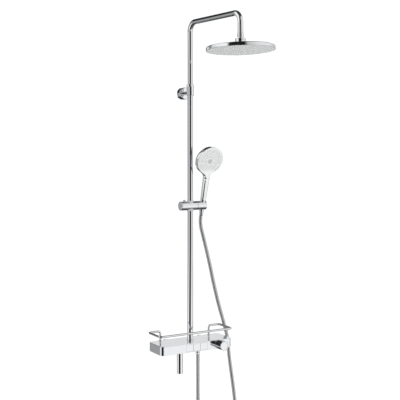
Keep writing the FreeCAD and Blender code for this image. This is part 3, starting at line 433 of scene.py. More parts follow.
SLOT_FINISHES = {
    # chrome has the faint bloom that dried water leaves, machined metal its turning marks
    "chrome": ("chrome", {
        "name": "polished_chrome", "metallic": 1.0, "wear": (38.0, 4.0), "rough": (0.018, 0.055),
        "patches": (9.0, 0.97),
    }),
    "hose_metal": ("hose", {
        "name": "wound_hose_metal", "metallic": 1.0, "wear": (120.0, 3.0), "rough": (0.06, 0.16),
        "patches": (30.0, 0.86),
    }),
    "white_plastic": ("white", {
        "name": "white_face_plastic", "metallic": 0.0, "wear": (60.0, 3.0), "rough": (0.27, 0.38),
        "patches": (14.0, 0.975), "grain": (900.0, 0.05, 0.0001),
        "sockets": {"Coat Weight": 0.15, "Coat Roughness": 0.12},
    }),
    "grey_plastic": ("grey", {
        "name": "satin_grey_plastic", "metallic": 0.0, "wear": (80.0, 3.0), "rough": (0.38, 0.52),
        "patches": (25.0, 0.93), "grain": (1200.0, 0.12, 0.0001),
    }),
    "black_plastic": ("black", {
        "name": "grained_black_plastic", "metallic": 0.0, "wear": (700.0, 3.0), "rough": (0.42, 0.6),
        "patches": (None, 1.5), "grain": (None, 0.3, 0.0002),
    }),
    "soft_silicone": ("silicone", {
        "name": "soft_nozzle_silicone", "metallic": 0.0, "wear": (150.0, 2.0), "rough": (0.52, 0.68),
        "patches": (40.0, 0.9),
        "sockets": {"Subsurface Weight": 0.1, "Subsurface Radius": (0.002, 0.002, 0.002)},
    }),
    "black_rubber": ("black", {
        "name": "black_seal_rubber", "metallic": 0.0, "wear": (90.0, 2.0), "rough": (0.55, 0.75),
        "grain": (500.0, 0.2, 0.0002),
    }),
    "brass": ("brass", {
        "name": "machined_brass", "metallic": 1.0, "wear": (200.0, 3.0, (1.0, 8.0, 1.0)), "rough": (0.22, 0.4),
        "patches": (30.0, 0.85), "grain": (None, 0.1, 0.0001),
    }),
    "steel": ("steel", {
        "name": "machined_steel", "metallic": 1.0, "wear": (300.0, 2.0, (1.0, 1.0, 6.0)), "rough": (0.22, 0.38),
        "patches": (50.0, 0.9),
    }),
}
MADE_FINISHES = {}


def finish(slot):
    """The material of one of the record's slots, made once."""
    if slot not in MADE_FINISHES:
        colour_name, kind = SLOT_FINISHES[slot]
        base = tuple(getattr(bpy.context.scene.shower_finishes, colour_name))
        MADE_FINISHES[slot] = patterned(base, **kind)
    return MADE_FINISHES[slot]


# ---------------------------------------------------------------- making pieces
def dress(piece, body, slot, *nodes):
    """Gives a finished piece its body, its finish and the CAD nodes that it stands for."""
    piece.data.materials.clear()
    piece.data.materials.append(finish(slot))
    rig.slot(piece, slot)
    if body:
        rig.ride(piece, body)
    if nodes:
        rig.replaces(piece, *nodes)
    return piece


def made_from(name, form, sharp=SHARP):
    """A smoothly shaded object from a bmesh form, which it uses up."""
    mesh = bpy.data.meshes.new(name)
    form.to_mesh(mesh)
    form.free()
    piece = bpy.data.objects.new(name, mesh)
    bpy.context.scene.collection.objects.link(piece)
    shade(piece, sharp)
    return piece


def solid(name, form, sharp=SHARP):
    """An object from a closed form, its doubled points merged and its normals outward."""
    bmesh.ops.remove_doubles(form, verts=form.verts, dist=1e-7)
    bmesh.ops.recalc_face_normals(form, faces=form.faces)
    return made_from(name, form, sharp)


def shade(piece, sharp=SHARP):
    """Smooth shading with sharp edges where faces meet at more than this many degrees."""
    mesh = piece.data
    mesh.polygons.foreach_set("use_smooth", [True] * len(mesh.polygons))
    mesh.set_sharp_from_angle(angle=math.radians(sharp))
    mesh.update()


def even_normals(piece):
    """Keeps flat faces flat beside rounded edges."""
    modifier = piece.modifiers.new("flat_faces", "WEIGHTED_NORMAL")
    modifier.keep_sharp = True
    modifier.weight = 80


def evaluated(piece):
    graph = bpy.context.evaluated_depsgraph_get()
    graph.update()
    return bpy.data.meshes.new_from_object(piece.evaluated_get(graph), depsgraph=graph)


def settled(piece):
    """Applies the modifiers to the piece's own mesh."""
    mesh = evaluated(piece)
    mesh.name = piece.name
    piece.modifiers.clear()
    piece.data = mesh
    return piece


def carve(piece, cutter, operation="DIFFERENCE", sharp=SHARP):
    """Cuts a shape out of a piece, or joins it on, and throws the shape away."""
    modifier = piece.modifiers.new("carve", "BOOLEAN")
    modifier.operation = operation
    modifier.solver = "EXACT"
    modifier.object = cutter
    settled(piece)
    bpy.data.objects.remove(cutter)
    form = bmesh.new()
    form.from_mesh(piece.data)
    bmesh.ops.remove_doubles(form, verts=form.verts, dist=2e-6)
    bmesh.ops.dissolve_degenerate(form, edges=form.edges, dist=1e-6)
    form.to_mesh(piece.data)
    form.free()
    shade(piece, sharp)
    return piece


def corner_arc(before, corner, after, radius):
    """A rounding's centre, the spokes to its first and last point and half the corner's angle."""
    back, ahead = (before - corner).normalized(), (after - corner).normalized()
    half = back.angle(ahead) / 2
    middle = corner + (back + ahead).normalized() * (radius / math.sin(half))
    first = corner + back * (radius / math.tan(half)) - middle
    last = corner + ahead * (radius / math.tan(half)) - middle
    return middle, first, last, half


def rounded_outline(points, radii, closed):
    """A flat outline with arcs at the corners that radii names by number."""
    points = [Vector(point) for point in points]
    steps = 6
    out = []
    total = len(points)
    for number, point in enumerate(points):
        radius = radii.get(number, 0.0)
        inside = closed or 0 < number < total - 1
        if not radius or not inside:
            out.append(point)
            continue
        middle, first, last, _ = corner_arc(points[number - 1], point, points[(number + 1) % total], radius)
        start = math.atan2(first.y, first.x)
        turn = math.atan2(last.y, last.x) - start
        turn = (turn + math.pi) % (2 * math.pi) - math.pi
        for step in range(steps + 1):
            at = start + turn * step / steps
            out.append(middle + Vector((math.cos(at), math.sin(at))) * radius)
    return out


AXES = {
    "X": (Vector((0, 1, 0)), Vector((0, 0, 1)), Vector((1, 0, 0))),
    "Y": (Vector((0, 0, 1)), Vector((1, 0, 0)), Vector((0, 1, 0))),
    "Z": (Vector((1, 0, 0)), Vector((0, 1, 0)), Vector((0, 0, 1))),
}


def turned(form, profile, centre, axis="Z", closed=False, segments=ROUND):
    """Turns a profile of (radius, height) points about an axis through centre."""
    across, beside, along = AXES[axis]
    centre = Vector(centre)
    rings = []
    for radius, height in profile:
        if radius < 1e-7:
            rings.append([form.verts.new(centre + along * height)])
            continue
        ring = []
        for step in range(segments):
            at = 2 * math.pi * step / segments
            spoke = across * math.cos(at) + beside * math.sin(at)
            ring.append(form.verts.new(centre + along * height + spoke * radius))
        rings.append(ring)
    pairs = list(zip(rings, rings[1:]))
    if closed:
        pairs.append((rings[-1], rings[0]))
    for low, high in pairs:
        join_rings(form, low, high)
    return form


def join_rings(form, low, high):
    """Faces between two rings, either of which may be a single point."""
    size = max(len(low), len(high))
    for step in range(size):
        after = (step + 1) % size
        corners = [low[step % len(low)], low[after % len(low)], high[after % len(high)], high[step % len(high)]]
        unique = []
        for corner in corners:
            if corner not in unique:
                unique.append(corner)
        if len(unique) > 2:
            form.faces.new(unique)


def tube_outline(inner, outer, low, high):
    """The outline of a tube to turn, or of a solid bar where inner is 0."""
    return [(inner, low), (outer, low), (outer, high), (inner, high)]


def turned_piece(name, profile, centre, axis="Z", radii=None, closed=False, segments=ROUND):
    """One turned piece with its corners rounded."""
    line = rounded_outline(profile, radii or {}, closed)
    return solid(name, turned(bmesh.new(), line, centre, axis, closed, segments))


def rod(radius, start, end, axis, centre, segments=ROUND):
    """A plain round bar, for cutting or joining."""
    profile = tube_outline(0, radius, start, end)
    return solid("rod", turned(bmesh.new(), profile, centre, axis, False, segments))


def block(low, high):
    """A plain block, for cutting."""
    form = bmesh.new()
    size = Vector(high) - Vector(low)
    middle = (Vector(high) + Vector(low)) / 2
    bmesh.ops.create_cube(form, size=1.0, matrix=Matrix.Translation(middle) @ Matrix.Diagonal((*size, 1)))
    return solid("block", form)


def slab(name, low, high, corner, edge, steps):
    """A plate with round upright corners and softened upper and lower edges."""
    form = bmesh.new()
    turns = [math.pi / 2 * step / 4 for step in range(5)]
    lower = [(low[2] + edge * (1 - math.cos(a)), edge * (1 - math.sin(a))) for a in turns]
    upper = [(high[2] - edge * (1 - math.cos(a)), edge * (1 - math.sin(a))) for a in reversed(turns)]
    rings = []
    for z, inset in lower + upper:
        rings.append([form.verts.new((x, y, z)) for x, y in round_rectangle(low, high, corner, inset, steps)])
    for under, over in zip(rings, rings[1:]):
        join_rings(form, under, over)
    form.faces.new(rings[0])
    form.faces.new(rings[-1])
    return solid(name, form)


def round_rectangle(low, high, corner, inset, steps):
    radius = max(corner - inset, 1e-5)
    points = []
    centres = [
        (high[0] - corner, high[1] - corner, 0), (low[0] + corner, high[1] - corner, 90),
        (low[0] + corner, low[1] + corner, 180), (high[0] - corner, low[1] + corner, 270),
    ]
    for x, y, turn in centres:
        for step in range(steps + 1):
            at = math.radians(turn + 90 * step / steps)
            points.append((x + radius * math.cos(at), y + radius * math.sin(at)))
    return points


def bent_path(points, radius, steps):
    """Straight runs and round bends as a line of points."""
    points = [Vector(p) for p in points]
    line = [points[0]]
    for before, corner, after in zip(points, points[1:], points[2:]):
        middle, first, last, half = corner_arc(before, corner, after, radius)
        beside = (last - last.project(first)).normalized()
        for step in range(steps + 1):
            turn = (math.pi - 2 * half) * step / steps
            line.append(middle + first * math.cos(turn) + beside * (radius * math.sin(turn)))
    line.append(points[-1])
    return line


def frames_along(line):
    """A point, a sideways and an upward direction at each point of a line, without twist."""
    frames = []
    side = None
    for number, point in enumerate(line):
        ahead = line[min(number + 1, len(line) - 1)] - line[max(number - 1, 0)]
        ahead.normalize()
        if side is None:
            side = ahead.orthogonal().normalized()
        side = (side - ahead * side.dot(ahead)).normalized()
        frames.append((point, side, ahead.cross(side)))
    return frames


def tube_form(form, line, radius, segments, bore=None):
    """A bar along a line, closed at both ends, or a tube where a bore is given."""
    outside, inside = [], []
    for point, side, up in frames_along(line):
        spokes = [
            side * math.cos(2 * math.pi * k / segments) + up * math.sin(2 * math.pi * k / segments)
            for k in range(segments)
        ]
        outside.append([form.verts.new(point + spoke * radius) for spoke in spokes])
        if bore:
            inside.append([form.verts.new(point + spoke * bore) for spoke in spokes])
    for rings in (outside, inside):
        for one, other in zip(rings, rings[1:]):
            join_rings(form, one, other)
    if bore:
        join_rings(form, outside[0], inside[0])
        join_rings(form, outside[-1], inside[-1])
    else:
        form.faces.new(outside[0])
        form.faces.new(outside[-1])
    return form


# ---------------------------------------------------------------- repeated details
def tree_with(name, inputs):
    """A Geometry Nodes tree with named inputs, a material and one geometry output."""
    tree = bpy.data.node_groups.new(name, "GeometryNodeTree")
    tree.interface.new_socket("Geometry", in_out="OUTPUT", socket_type="NodeSocketGeometry")
    for label, kind, value in inputs:
        tree.interface.new_socket(label, in_out="INPUT", socket_type="NodeSocket" + kind).default_value = value
    tree.interface.new_socket("Material", in_out="INPUT", socket_type="NodeSocketMaterial")
    return tree, tree.nodes.new("NodeGroupInput").outputs, tree.nodes.new("NodeGroupOutput")


def finish_tree(tree, geometry, outgoing, incoming):
    """Realizes the copies and gives them the material."""
    real = add(tree, "GeometryNodeRealizeInstances", {"Geometry": geometry}).outputs["Geometry"]
    inputs = {"Geometry": real, "Material": incoming["Material"]}
    paint = add(tree, "GeometryNodeSetMaterial", inputs)
    tree.links.new(paint.outputs["Geometry"], outgoing.inputs["Geometry"])
    return tree


def nozzle_tree():
    """Tapered nozzles on hexagonal rings; the innermost rings may stay empty."""
    tree, incoming, outgoing = tree_with("nozzle_rings", [
        ("Rings", "Int", 12), ("Empty Rings", "Int", 0), ("Spacing", "Float", 0.009), ("Radius", "Float", 0.0016),
        ("Height", "Float", 0.0016),
    ])

    def calc(operation, *values):
        return math_node(tree, operation, *values)

    rings = incoming["Rings"]
    total = calc("MULTIPLY", calc("MULTIPLY", rings, calc("ADD", rings, 1)), 3)
    index = add(tree, "GeometryNodeInputIndex").outputs["Index"]
    # ring k holds 6k nozzles, so the rings inside it hold 3k(k - 1)
    root = calc("SQRT", calc("ADD", calc("MULTIPLY", index, 4 / 3), 1))
    ring = calc("FLOOR", calc("ADD", calc("MULTIPLY", root, 0.5), 0.5 + 1e-5))
    before = calc("MULTIPLY", calc("MULTIPLY", ring, calc("SUBTRACT", ring, 1)), 3)
    share = calc("DIVIDE", calc("SUBTRACT", index, before), calc("MULTIPLY", ring, 6))
    turn = calc("MULTIPLY", share, 2 * math.pi)
    reach = calc("MULTIPLY", ring, incoming["Spacing"])
    inputs = {"X": calc("MULTIPLY", reach, calc("COSINE", turn)), "Y": calc("MULTIPLY", reach, calc("SINE", turn))}
    place = add(tree, "ShaderNodeCombineXYZ", inputs).outputs["Vector"]
    points = add(tree, "GeometryNodePoints", {"Count": total, "Position": place}).outputs["Points"]
    inputs = {"A": ring, "B": incoming["Empty Rings"]}
    empty = add(tree, "FunctionNodeCompare", inputs, data_type="FLOAT", operation="LESS_EQUAL").outputs["Result"]
    inputs = {"Geometry": points, "Selection": empty}
    kept = add(tree, "GeometryNodeDeleteGeometry", inputs, domain="POINT").outputs["Geometry"]
    cone = add(tree, "GeometryNodeMeshCone", {
        "Vertices": 12, "Radius Bottom": incoming["Radius"],
        "Radius Top": calc("MULTIPLY", incoming["Radius"], 0.62), "Depth": incoming["Height"],
    }).outputs["Mesh"]
    copies = add(tree, "GeometryNodeInstanceOnPoints", {"Points": kept, "Instance": cone})
    return finish_tree(tree, copies.outputs["Instances"], outgoing, incoming)


def screw_tree():
    """Cross-head screws at the corners of a rectangle, their heads facing +Z."""
    tree, incoming, outgoing = tree_with("screw_pattern", [
        ("Width", "Float", 0.28), ("Depth", "Float", 0.08), ("Columns", "Int", 2), ("Rows", "Int", 2),
        ("Head Radius", "Float", 0.003), ("Head Height", "Float", 0.0012),
        ("Shank Radius", "Float", 0.0015), ("Shank Length", "Float", 0.02),
    ])

    def times(label, factor):
        return math_node(tree, "MULTIPLY", incoming[label], factor)

    def raised(mesh, height):
        offset = add(tree, "ShaderNodeCombineXYZ", {"Z": height}).outputs["Vector"]
        inputs = {"Geometry": mesh, "Translation": offset}
        return add(tree, "GeometryNodeTransform", inputs).outputs["Geometry"]

    grid = add(tree, "GeometryNodeMeshGrid", {
        "Size X": incoming["Width"], "Size Y": incoming["Depth"],
        "Vertices X": incoming["Columns"], "Vertices Y": incoming["Rows"],
    }).outputs["Mesh"]
    points = add(tree, "GeometryNodeMeshToPoints", {"Mesh": grid}).outputs["Points"]
    head = add(tree, "GeometryNodeMeshCone", {
        "Vertices": 32, "Radius Bottom": incoming["Head Radius"],
        "Radius Top": times("Head Radius", 0.8), "Depth": incoming["Head Height"],
    }).outputs["Mesh"]
    shank = add(tree, "GeometryNodeMeshCylinder", {
        "Vertices": 20, "Radius": incoming["Shank Radius"], "Depth": incoming["Shank Length"],
    }).outputs["Mesh"]
    shank = raised(shank, times("Shank Length", -0.5))
    cross = add(tree, "GeometryNodeMeshBoolean", {"Mesh 1": head}, operation="DIFFERENCE")
    for long_side in (0, 1):
        wide, thin = times("Head Radius", 1.1), times("Head Radius", 0.24)
        size = add(tree, "ShaderNodeCombineXYZ", {
            "X": wide if long_side else thin, "Y": thin if long_side else wide, "Z": times("Head Height", 1.4),
        }).outputs["Vector"]
        bar = add(tree, "GeometryNodeMeshCube", {"Size": size}).outputs["Mesh"]
        tree.links.new(raised(bar, times("Head Height", 1.05)), cross.inputs["Mesh 2"])
    screw = add(tree, "GeometryNodeJoinGeometry")
    tree.links.new(cross.outputs["Mesh"], screw.inputs["Geometry"])
    tree.links.new(shank, screw.inputs["Geometry"])
    inputs = {"Points": points, "Instance": screw.outputs["Geometry"]}
    copies = add(tree, "GeometryNodeInstanceOnPoints", inputs)
    return finish_tree(tree, copies.outputs["Instances"], outgoing, incoming)


def spring_tree():
    """A wound spring along Z, from its foot upwards."""
    tree, incoming, outgoing = tree_with("wound_spring", [
        ("Turns", "Float", 5.0), ("Radius", "Float", 0.006), ("Length", "Float", 0.02), ("Wire", "Float", 0.0005),
    ])
    spiral = add(tree, "GeometryNodeCurveSpiral", {
        "Resolution": 24, "Rotations": incoming["Turns"], "Height": incoming["Length"],
        "Start Radius": incoming["Radius"], "End Radius": incoming["Radius"],
    })
    wire = add(tree, "GeometryNodeCurvePrimitiveCircle", {"Resolution": 10, "Radius": incoming["Wire"]})
    sweep = add(tree, "GeometryNodeCurveToMesh", {
        "Curve": spiral.outputs["Curve"], "Profile Curve": wire.outputs["Curve"], "Fill Caps": True,
    })
    return finish_tree(tree, sweep.outputs["Mesh"], outgoing, incoming)


def grown(name, tree, place, slot, **sizes):
    """Runs a tree with the given inputs and puts the plain mesh in its place."""
    carrier = bpy.data.objects.new(name, bpy.data.meshes.new(name))
    bpy.context.scene.collection.objects.link(carrier)
    modifier = carrier.modifiers.new("grow", "NODES")
    modifier.node_group = tree
    wanted = {key.replace("_", " "): value for key, value in sizes.items()}
    wanted["Material"] = finish(slot)
    for socket in tree.interface.items_tree:
        if socket.in_out == "INPUT" and socket.name in wanted:
            modifier[socket.identifier] = wanted.pop(socket.name)
    if wanted:
        raise RuntimeError("no input named " + ", ".join(wanted))
    settled(carrier)
    carrier.data.transform(place)
    shade(carrier)
    return carrier


# ---------------------------------------------------------------- pieces by the record's nodes
BODY_OF = {node: body for body, nodes in frame["record"]["behaviour"]["bodies"].items() for node in nodes}
SLOT_OF = {part["node"]: part["material_slot"] for part in frame["record"]["subparts"]}


def stands_for(piece, *nodes, body=True):
    """A finished piece takes the first node's body and slot, and hides the nodes."""
    return dress(piece, BODY_OF[nodes[0]] if body else None, SLOT_OF[nodes[0]], *nodes)


def finished(piece, *nodes):
    """A finished piece with flat faces beside rounded edges."""
    even_normals(stands_for(piece, *nodes))


def merged(name, *parts):
    """One piece from several separate forms."""
    form = bmesh.new()
    for part in parts:
        form.from_mesh(part.data)
        bpy.data.objects.remove(part)
    return made_from(name, form)


def placed(piece, matrix):
    piece.data.transform(matrix)
    piece.data.update()
    return piece


def soft_block(name, low, high, radius):
    """A block with all its edges softened."""
    piece = block(low, high)
    piece.name = name
    form = bmesh.new()
    form.from_mesh(piece.data)
    bmesh.ops.bevel(form, geom=form.edges, offset=radius, segments=3, profile=0.5, affect="EDGES")
    bmesh.ops.recalc_face_normals(form, faces=form.faces)
    form.to_mesh(piece.data)
    form.free()
    shade(piece)
    return piece


def button_spring(name, node, button, radius):
    """An upright spring in the place of the record's one, its wire inside the ends of that."""
    wire = 0.0004
    place = Matrix.Translation((button.x, button.y, box_low(node).z + wire))
    length_inside = box_size(node).z - 2 * wire
    spring = grown(name, spring_tree(), place, "steel", Turns=4.0, Radius=radius, Length=length_inside, Wire=wire)
    return stands_for(spring, node)


def rain_head_place():
    sizes = bpy.context.scene.shower_head
    return Matrix.Translation(box_middle("ball_seat")) @ Matrix.Rotation(sizes.tilt, 4, "X")


def holder_pivot():
    """The handset's axis crosses the slider's axis here."""
    joint = next(j for j in frame["joints"] if j["name"] == "holder_tilt")
    return Vector(joint["pos_m"])


def handset_place():
    lean = bpy.context.scene.shower_handset.lean
    return Matrix.Translation(holder_pivot()) @ Matrix.Rotation(lean, 4, "X")


def handle_slope(sizes):
    """How much the handle's radius grows along it."""
    return (sizes.neck_radius - sizes.foot_radius) / (sizes.neck + sizes.foot)


# ---------------------------------------------------------------- hose
# The hose's route, the same points as in the part: the loop, the run, the bend and the top.
HOSE_LOOP = [
    (0.031, -0.066, -0.040), (0.031, -0.066, -0.122), (0.030, -0.068, -0.207), (0.0315, -0.069, -0.292),
    (0.030, -0.069, -0.352), (0.035, -0.069, -0.405), (0.058, -0.0685, -0.448), (0.097, -0.068, -0.472),
    (0.145, -0.0675, -0.471), (0.183, -0.0665, -0.445), (0.204, -0.065, -0.402), (0.208, -0.063, -0.342),
    (0.206, -0.060, -0.280),
]
HOSE_RUN = [
    (0.201, -0.056, -0.213), (0.1935, -0.049, -0.139), (0.187, -0.041, -0.068), (0.1865, -0.033, -0.002),
    (0.172, -0.025, 0.061), (0.149, -0.027, 0.129), (0.125, -0.031, 0.208),
]
HOSE_BEND = [(0.104, -0.0355, 0.288), (0.085, -0.036, 0.360)]
HOSE_TOP = [(0.071, -0.039, 0.405)]
CONE_FOOT = -0.041      # along the handle, from the holder's pivot
CONE_STRAIGHT = 0.030   # the hose leaves the cone straight for this far


def hose_routes():
    """The four lengths of the hose; neighbours share the middle of a straight run."""
    groups = [[Vector(p) for p in group] for group in (HOSE_LOOP, HOSE_RUN, HOSE_BEND, HOSE_TOP)]
    place = handset_place()
    groups[-1] += [place @ Vector((0, 0, CONE_FOOT - CONE_STRAIGHT)), place @ Vector((0, 0, CONE_FOOT))]
    for before, after in zip(groups, groups[1:]):
        seam = (before[-1] + after[0]) / 2
        before.append(seam)
        after.insert(0, seam)
    return groups


def smooth_line(points):
    """The points of a smooth spline that has these control points."""
    curve = bpy.data.curves.new("hose_line", "CURVE")
    curve.dimensions = "3D"
    curve.resolution_u = 110
    spline = curve.splines.new("NURBS")
    spline.points.add(len(points) - 1)
    for control, point in zip(spline.points, points):
        control.co = (*point, 1.0)
    spline.order_u = 3
    spline.use_endpoint_u = True
    carrier = bpy.data.objects.new("hose_line", curve)
    bpy.context.scene.collection.objects.link(carrier)
    mesh = evaluated(carrier)
    line = [vertex.co.copy() for vertex in mesh.vertices]
    bpy.data.meshes.remove(mesh)
    bpy.data.objects.remove(carrier)
    if (line[0] - points[0]).length > (line[-1] - points[0]).length:
        line.reverse()
    return line


def wound_tube(name, line, start, sizes):
    """A tube of wound strip: a helical groove runs round it. start is the length of hose before it."""
    segments = 32
    radius = sizes.diameter / 2
    form = bmesh.new()
    rings = []
    travelled = start
    for number, point in enumerate(line):
        if number:
            travelled += (point - line[number - 1]).length
        ahead = (line[min(number + 1, len(line) - 1)] - line[max(number - 1, 0)]).normalized()
        side = (Vector((0, 1, 0)) - ahead * ahead.y).normalized()
        up = ahead.cross(side)
        ring = []
        for step in range(segments):
            share = step / segments
            phase = (travelled / sizes.pitch - share) % 1.0
            reach = radius - sizes.groove * (1 - math.sin(math.pi * phase)) ** 1.6
            turn = 2 * math.pi * share
            ring.append(form.verts.new(point + (side * math.cos(turn) + up * math.sin(turn)) * reach))
        rings.append(ring)
    for one, other in zip(rings, rings[1:]):
        join_rings(form, one, other)
    form.faces.new(rings[0])
    form.faces.new(rings[-1])
    return solid(name, form, sharp=60.0), travelled


def hose_nut():
    middle = box_middle("hose_nut")
    foot, top = heights("hose_nut")
    radius = half_width("hose_nut")
    deep, half_top, half_floor = 0.0005, 0.0004, 0.0002     # of the grooves
    bore, socket = 0.0066, top - 0.004
    profile = [(0, foot), (radius, foot)]
    for groove in (0.30, 0.72):
        at = foot + (top - foot) * groove
        profile += [(radius, at - half_top), (radius - deep, at - half_floor)]
        profile += [(radius - deep, at + half_floor), (radius, at + half_top)]
    profile += [(radius, top), (bore, top), (bore, socket), (0, socket)]
    last = len(profile) - 4
    piece = turned_piece("hose_lower_nut", profile, (middle.x, middle.y, 0), "Z", {1: 0.0010, last: 0.0010})
    return stands_for(piece, "hose_nut")


def hose_cone():
    """The hose's upper nut, screwed into the foot of the handle."""
    foot = -bpy.context.scene.shower_handset.foot
    gap = 0.0004            # between the cone and the handle
    wide = bpy.context.scene.shower_handset.foot_radius - gap
    narrow, step, thread, thread_end = 0.0076, wide - 0.0008, 0.0055, foot + 0.010
    profile = [
        (0, CONE_FOOT), (narrow, CONE_FOOT), (wide, foot - gap), (step, foot - gap),
        (step, foot), (thread, foot), (thread, thread_end), (0, thread_end),
    ]
    piece = turned_piece("hose_upper_cone", profile, (0, 0, 0), "Z", {1: 0.0008, 2: 0.0004})
    return stands_for(placed(piece, handset_place()), "hose_cone")


class SHOWER_OT_hose(bpy.types.Operator):
    """Lays the metal hose from the mixer's outlet to the foot of the handset"""
    bl_idname = "shower.hose"
    bl_label = "Hose"

    def execute(self, context):
        sizes = context.scene.shower_hose
        nut, cone = hose_nut(), hose_cone()
        rides = {
            "hose_loop": None, "hose_run": ("column", "slider"),
            "hose_bend": ("slider", "holder"), "hose_top": ("holder", "handset"),
        }
        company = {"hose_loop": [nut], "hose_top": [cone]}
        travelled = 0.0
        for route, (node, pair) in zip(hose_routes(), rides.items()):
            line = smooth_line(route)
            before = travelled
            piece, travelled = wound_tube(node.replace("hose", "wound"), line, before, sizes)
            stands_for(piece, node, body=pair is None)
            if pair:
                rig.blend(piece, *pair, start=line[0], end=line[-1])
            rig.cord(
                piece, exit=line[0], length=travelled - before, diameter=sizes.diameter, far_end="object",
                stiffness="medium", lay="hanging", path=line, with_pieces=company.get(node, []),
            )
        return {"FINISHED"}


# ---------------------------------------------------------------- stage
CAMERA_AZIMUTH = 30.2   # degrees, from straight in front towards -X
CAMERA_FALL = 2.1       # degrees that it looks down
CAMERA_PLACE = (-1.681, -3.024, 0.796)
CAMERA_LENS = 81.0      # millimetres
CAMERA_SHIFT = -0.0795
FLOOR_DROP = 0.45       # from the lowest point of the column to the floor
FLOOR_RADIUS = 9.0
SOFT_BRIGHTNESS = 1.06  # of the studio, for soft light
TOP_BRIGHTNESS = 0.04   # of the mirrored studio, overhead
# Brightness that polished metal mirrors, by direction: (degrees to the right of the camera, brightness).
STUDIO_BANDS = {
    "level": [
        (-180, 0.75), (-173, 0.55), (-168, 0.08), (-158, 0.08), (-151, 0.85), (-134, 0.80), (-126, 0.40),
        (-115, 0.36), (-104, 0.50), (-60, 0.47), (-30, 0.54), (-12, 0.58), (-6, 0.02), (0, 0.0), (40, 0.0),
        (46, 0.60), (52, 1.0), (84, 1.0), (96, 0.55), (112, 0.50), (135, 0.55), (160, 0.70), (180, 0.75),
    ],
    "upper": [
        (-180, 0.80), (-172, 0.75), (-164, 0.03), (-120, 0.02), (-112, 1.0), (-50, 1.0), (-40, 0.02), (10, 0.01),
        (22, 0.60), (60, 0.85), (100, 0.90), (140, 0.60), (180, 0.80),
    ],
    "high": [
        (-180, 0.03), (-120, 0.02), (-112, 1.0), (-50, 1.0), (-40, 0.02), (10, 0.01), (22, 0.60), (60, 0.85),
        (94, 0.90), (106, 0.04), (180, 0.03),
    ],
    "below": [
        (-180, 0.10), (-165, 0.03), (-136, 0.03), (-128, 0.36), (-112, 0.38), (-104, 0.90), (-52, 0.95),
        (-44, 0.02), (18, 0.0), (26, 0.75), (52, 1.0), (84, 1.0), (96, 0.55), (150, 0.50), (180, 0.10),
    ],
    "clear": [
        (-180, 0.10), (-136, 0.03), (-128, 0.36), (-112, 0.38), (-104, 0.90), (84, 1.0), (96, 0.55),
        (150, 0.50), (180, 0.10),
    ],
    "lower": [(-180, 0.05), (20, 0.04), (45, 0.30), (90, 0.30), (110, 0.05), (180, 0.05)],
}
# Where one band gives way to the next, by the height of the direction; None is the dark top.
STUDIO_ZONES = [
    ((-0.12, -0.20), "below"), ((-0.27, -0.30), "clear"), ((-0.41, -0.45), "below"), ((-0.58, -0.68), "lower"),
    ((0.08, 0.14), "upper"), ((0.52, 0.60), "high"), ((0.76, 0.84), None),
]


def studio_world():
    """A white studio: pale everywhere for soft light, with dark and bright panels that polished metal mirrors."""
    world = bpy.data.worlds.new("white_studio")
    world.use_nodes = True
    tree = world.node_tree
    place = add(tree, "ShaderNodeTexCoord").outputs["Generated"]
    parts = add(tree, "ShaderNodeSeparateXYZ", {"Vector": place}).outputs
    heading = math_node(tree, "ARCTAN2", parts["X"], math_node(tree, "MULTIPLY", parts["Y"], -1.0))
    share = math_node(tree, "DIVIDE", heading, 2 * math.pi)
    turn = math_node(tree, "FRACT", math_node(tree, "ADD", share, 1.5 + CAMERA_AZIMUTH / 360))
    bands = {name: studio_ramp(tree, turn, stops) for name, stops in STUDIO_BANDS.items()}
    seen = bands["level"]
    for limits, name in STUDIO_ZONES:
        share = mapped(tree, parts["Z"], limits)
        beyond = bands[name] if name else TOP_BRIGHTNESS
        seen = between(tree, share, seen, beyond)
    glossy = add(tree, "ShaderNodeLightPath").outputs["Is Glossy Ray"]
    light = between(tree, glossy, SOFT_BRIGHTNESS, seen)
    tree.links.new(light, tree.nodes["Background"].inputs["Color"])
    tree.nodes["Background"].inputs["Strength"].default_value = 1.0
    return world


def between(tree, share, one, other):
    inputs = {"Factor": share, "A": one, "B": other}
    return add(tree, "ShaderNodeMix", inputs, data_type="FLOAT").outputs["Result"]


def studio_ramp(tree, turn, stops):
    """Brightness round the studio; stops are (degrees to the right of the camera, brightness)."""
    ramp = add(tree, "ShaderNodeValToRGB", {"Fac": turn})
    elements = ramp.color_ramp.elements
    for degrees, _ in stops[2:]:
        elements.new(degrees / 360 + 0.5)
    for (degrees, value), element in zip(stops, elements):
        element.position = degrees / 360 + 0.5
        element.color = (value, value, value, 1)
    return ramp.outputs["Color"]


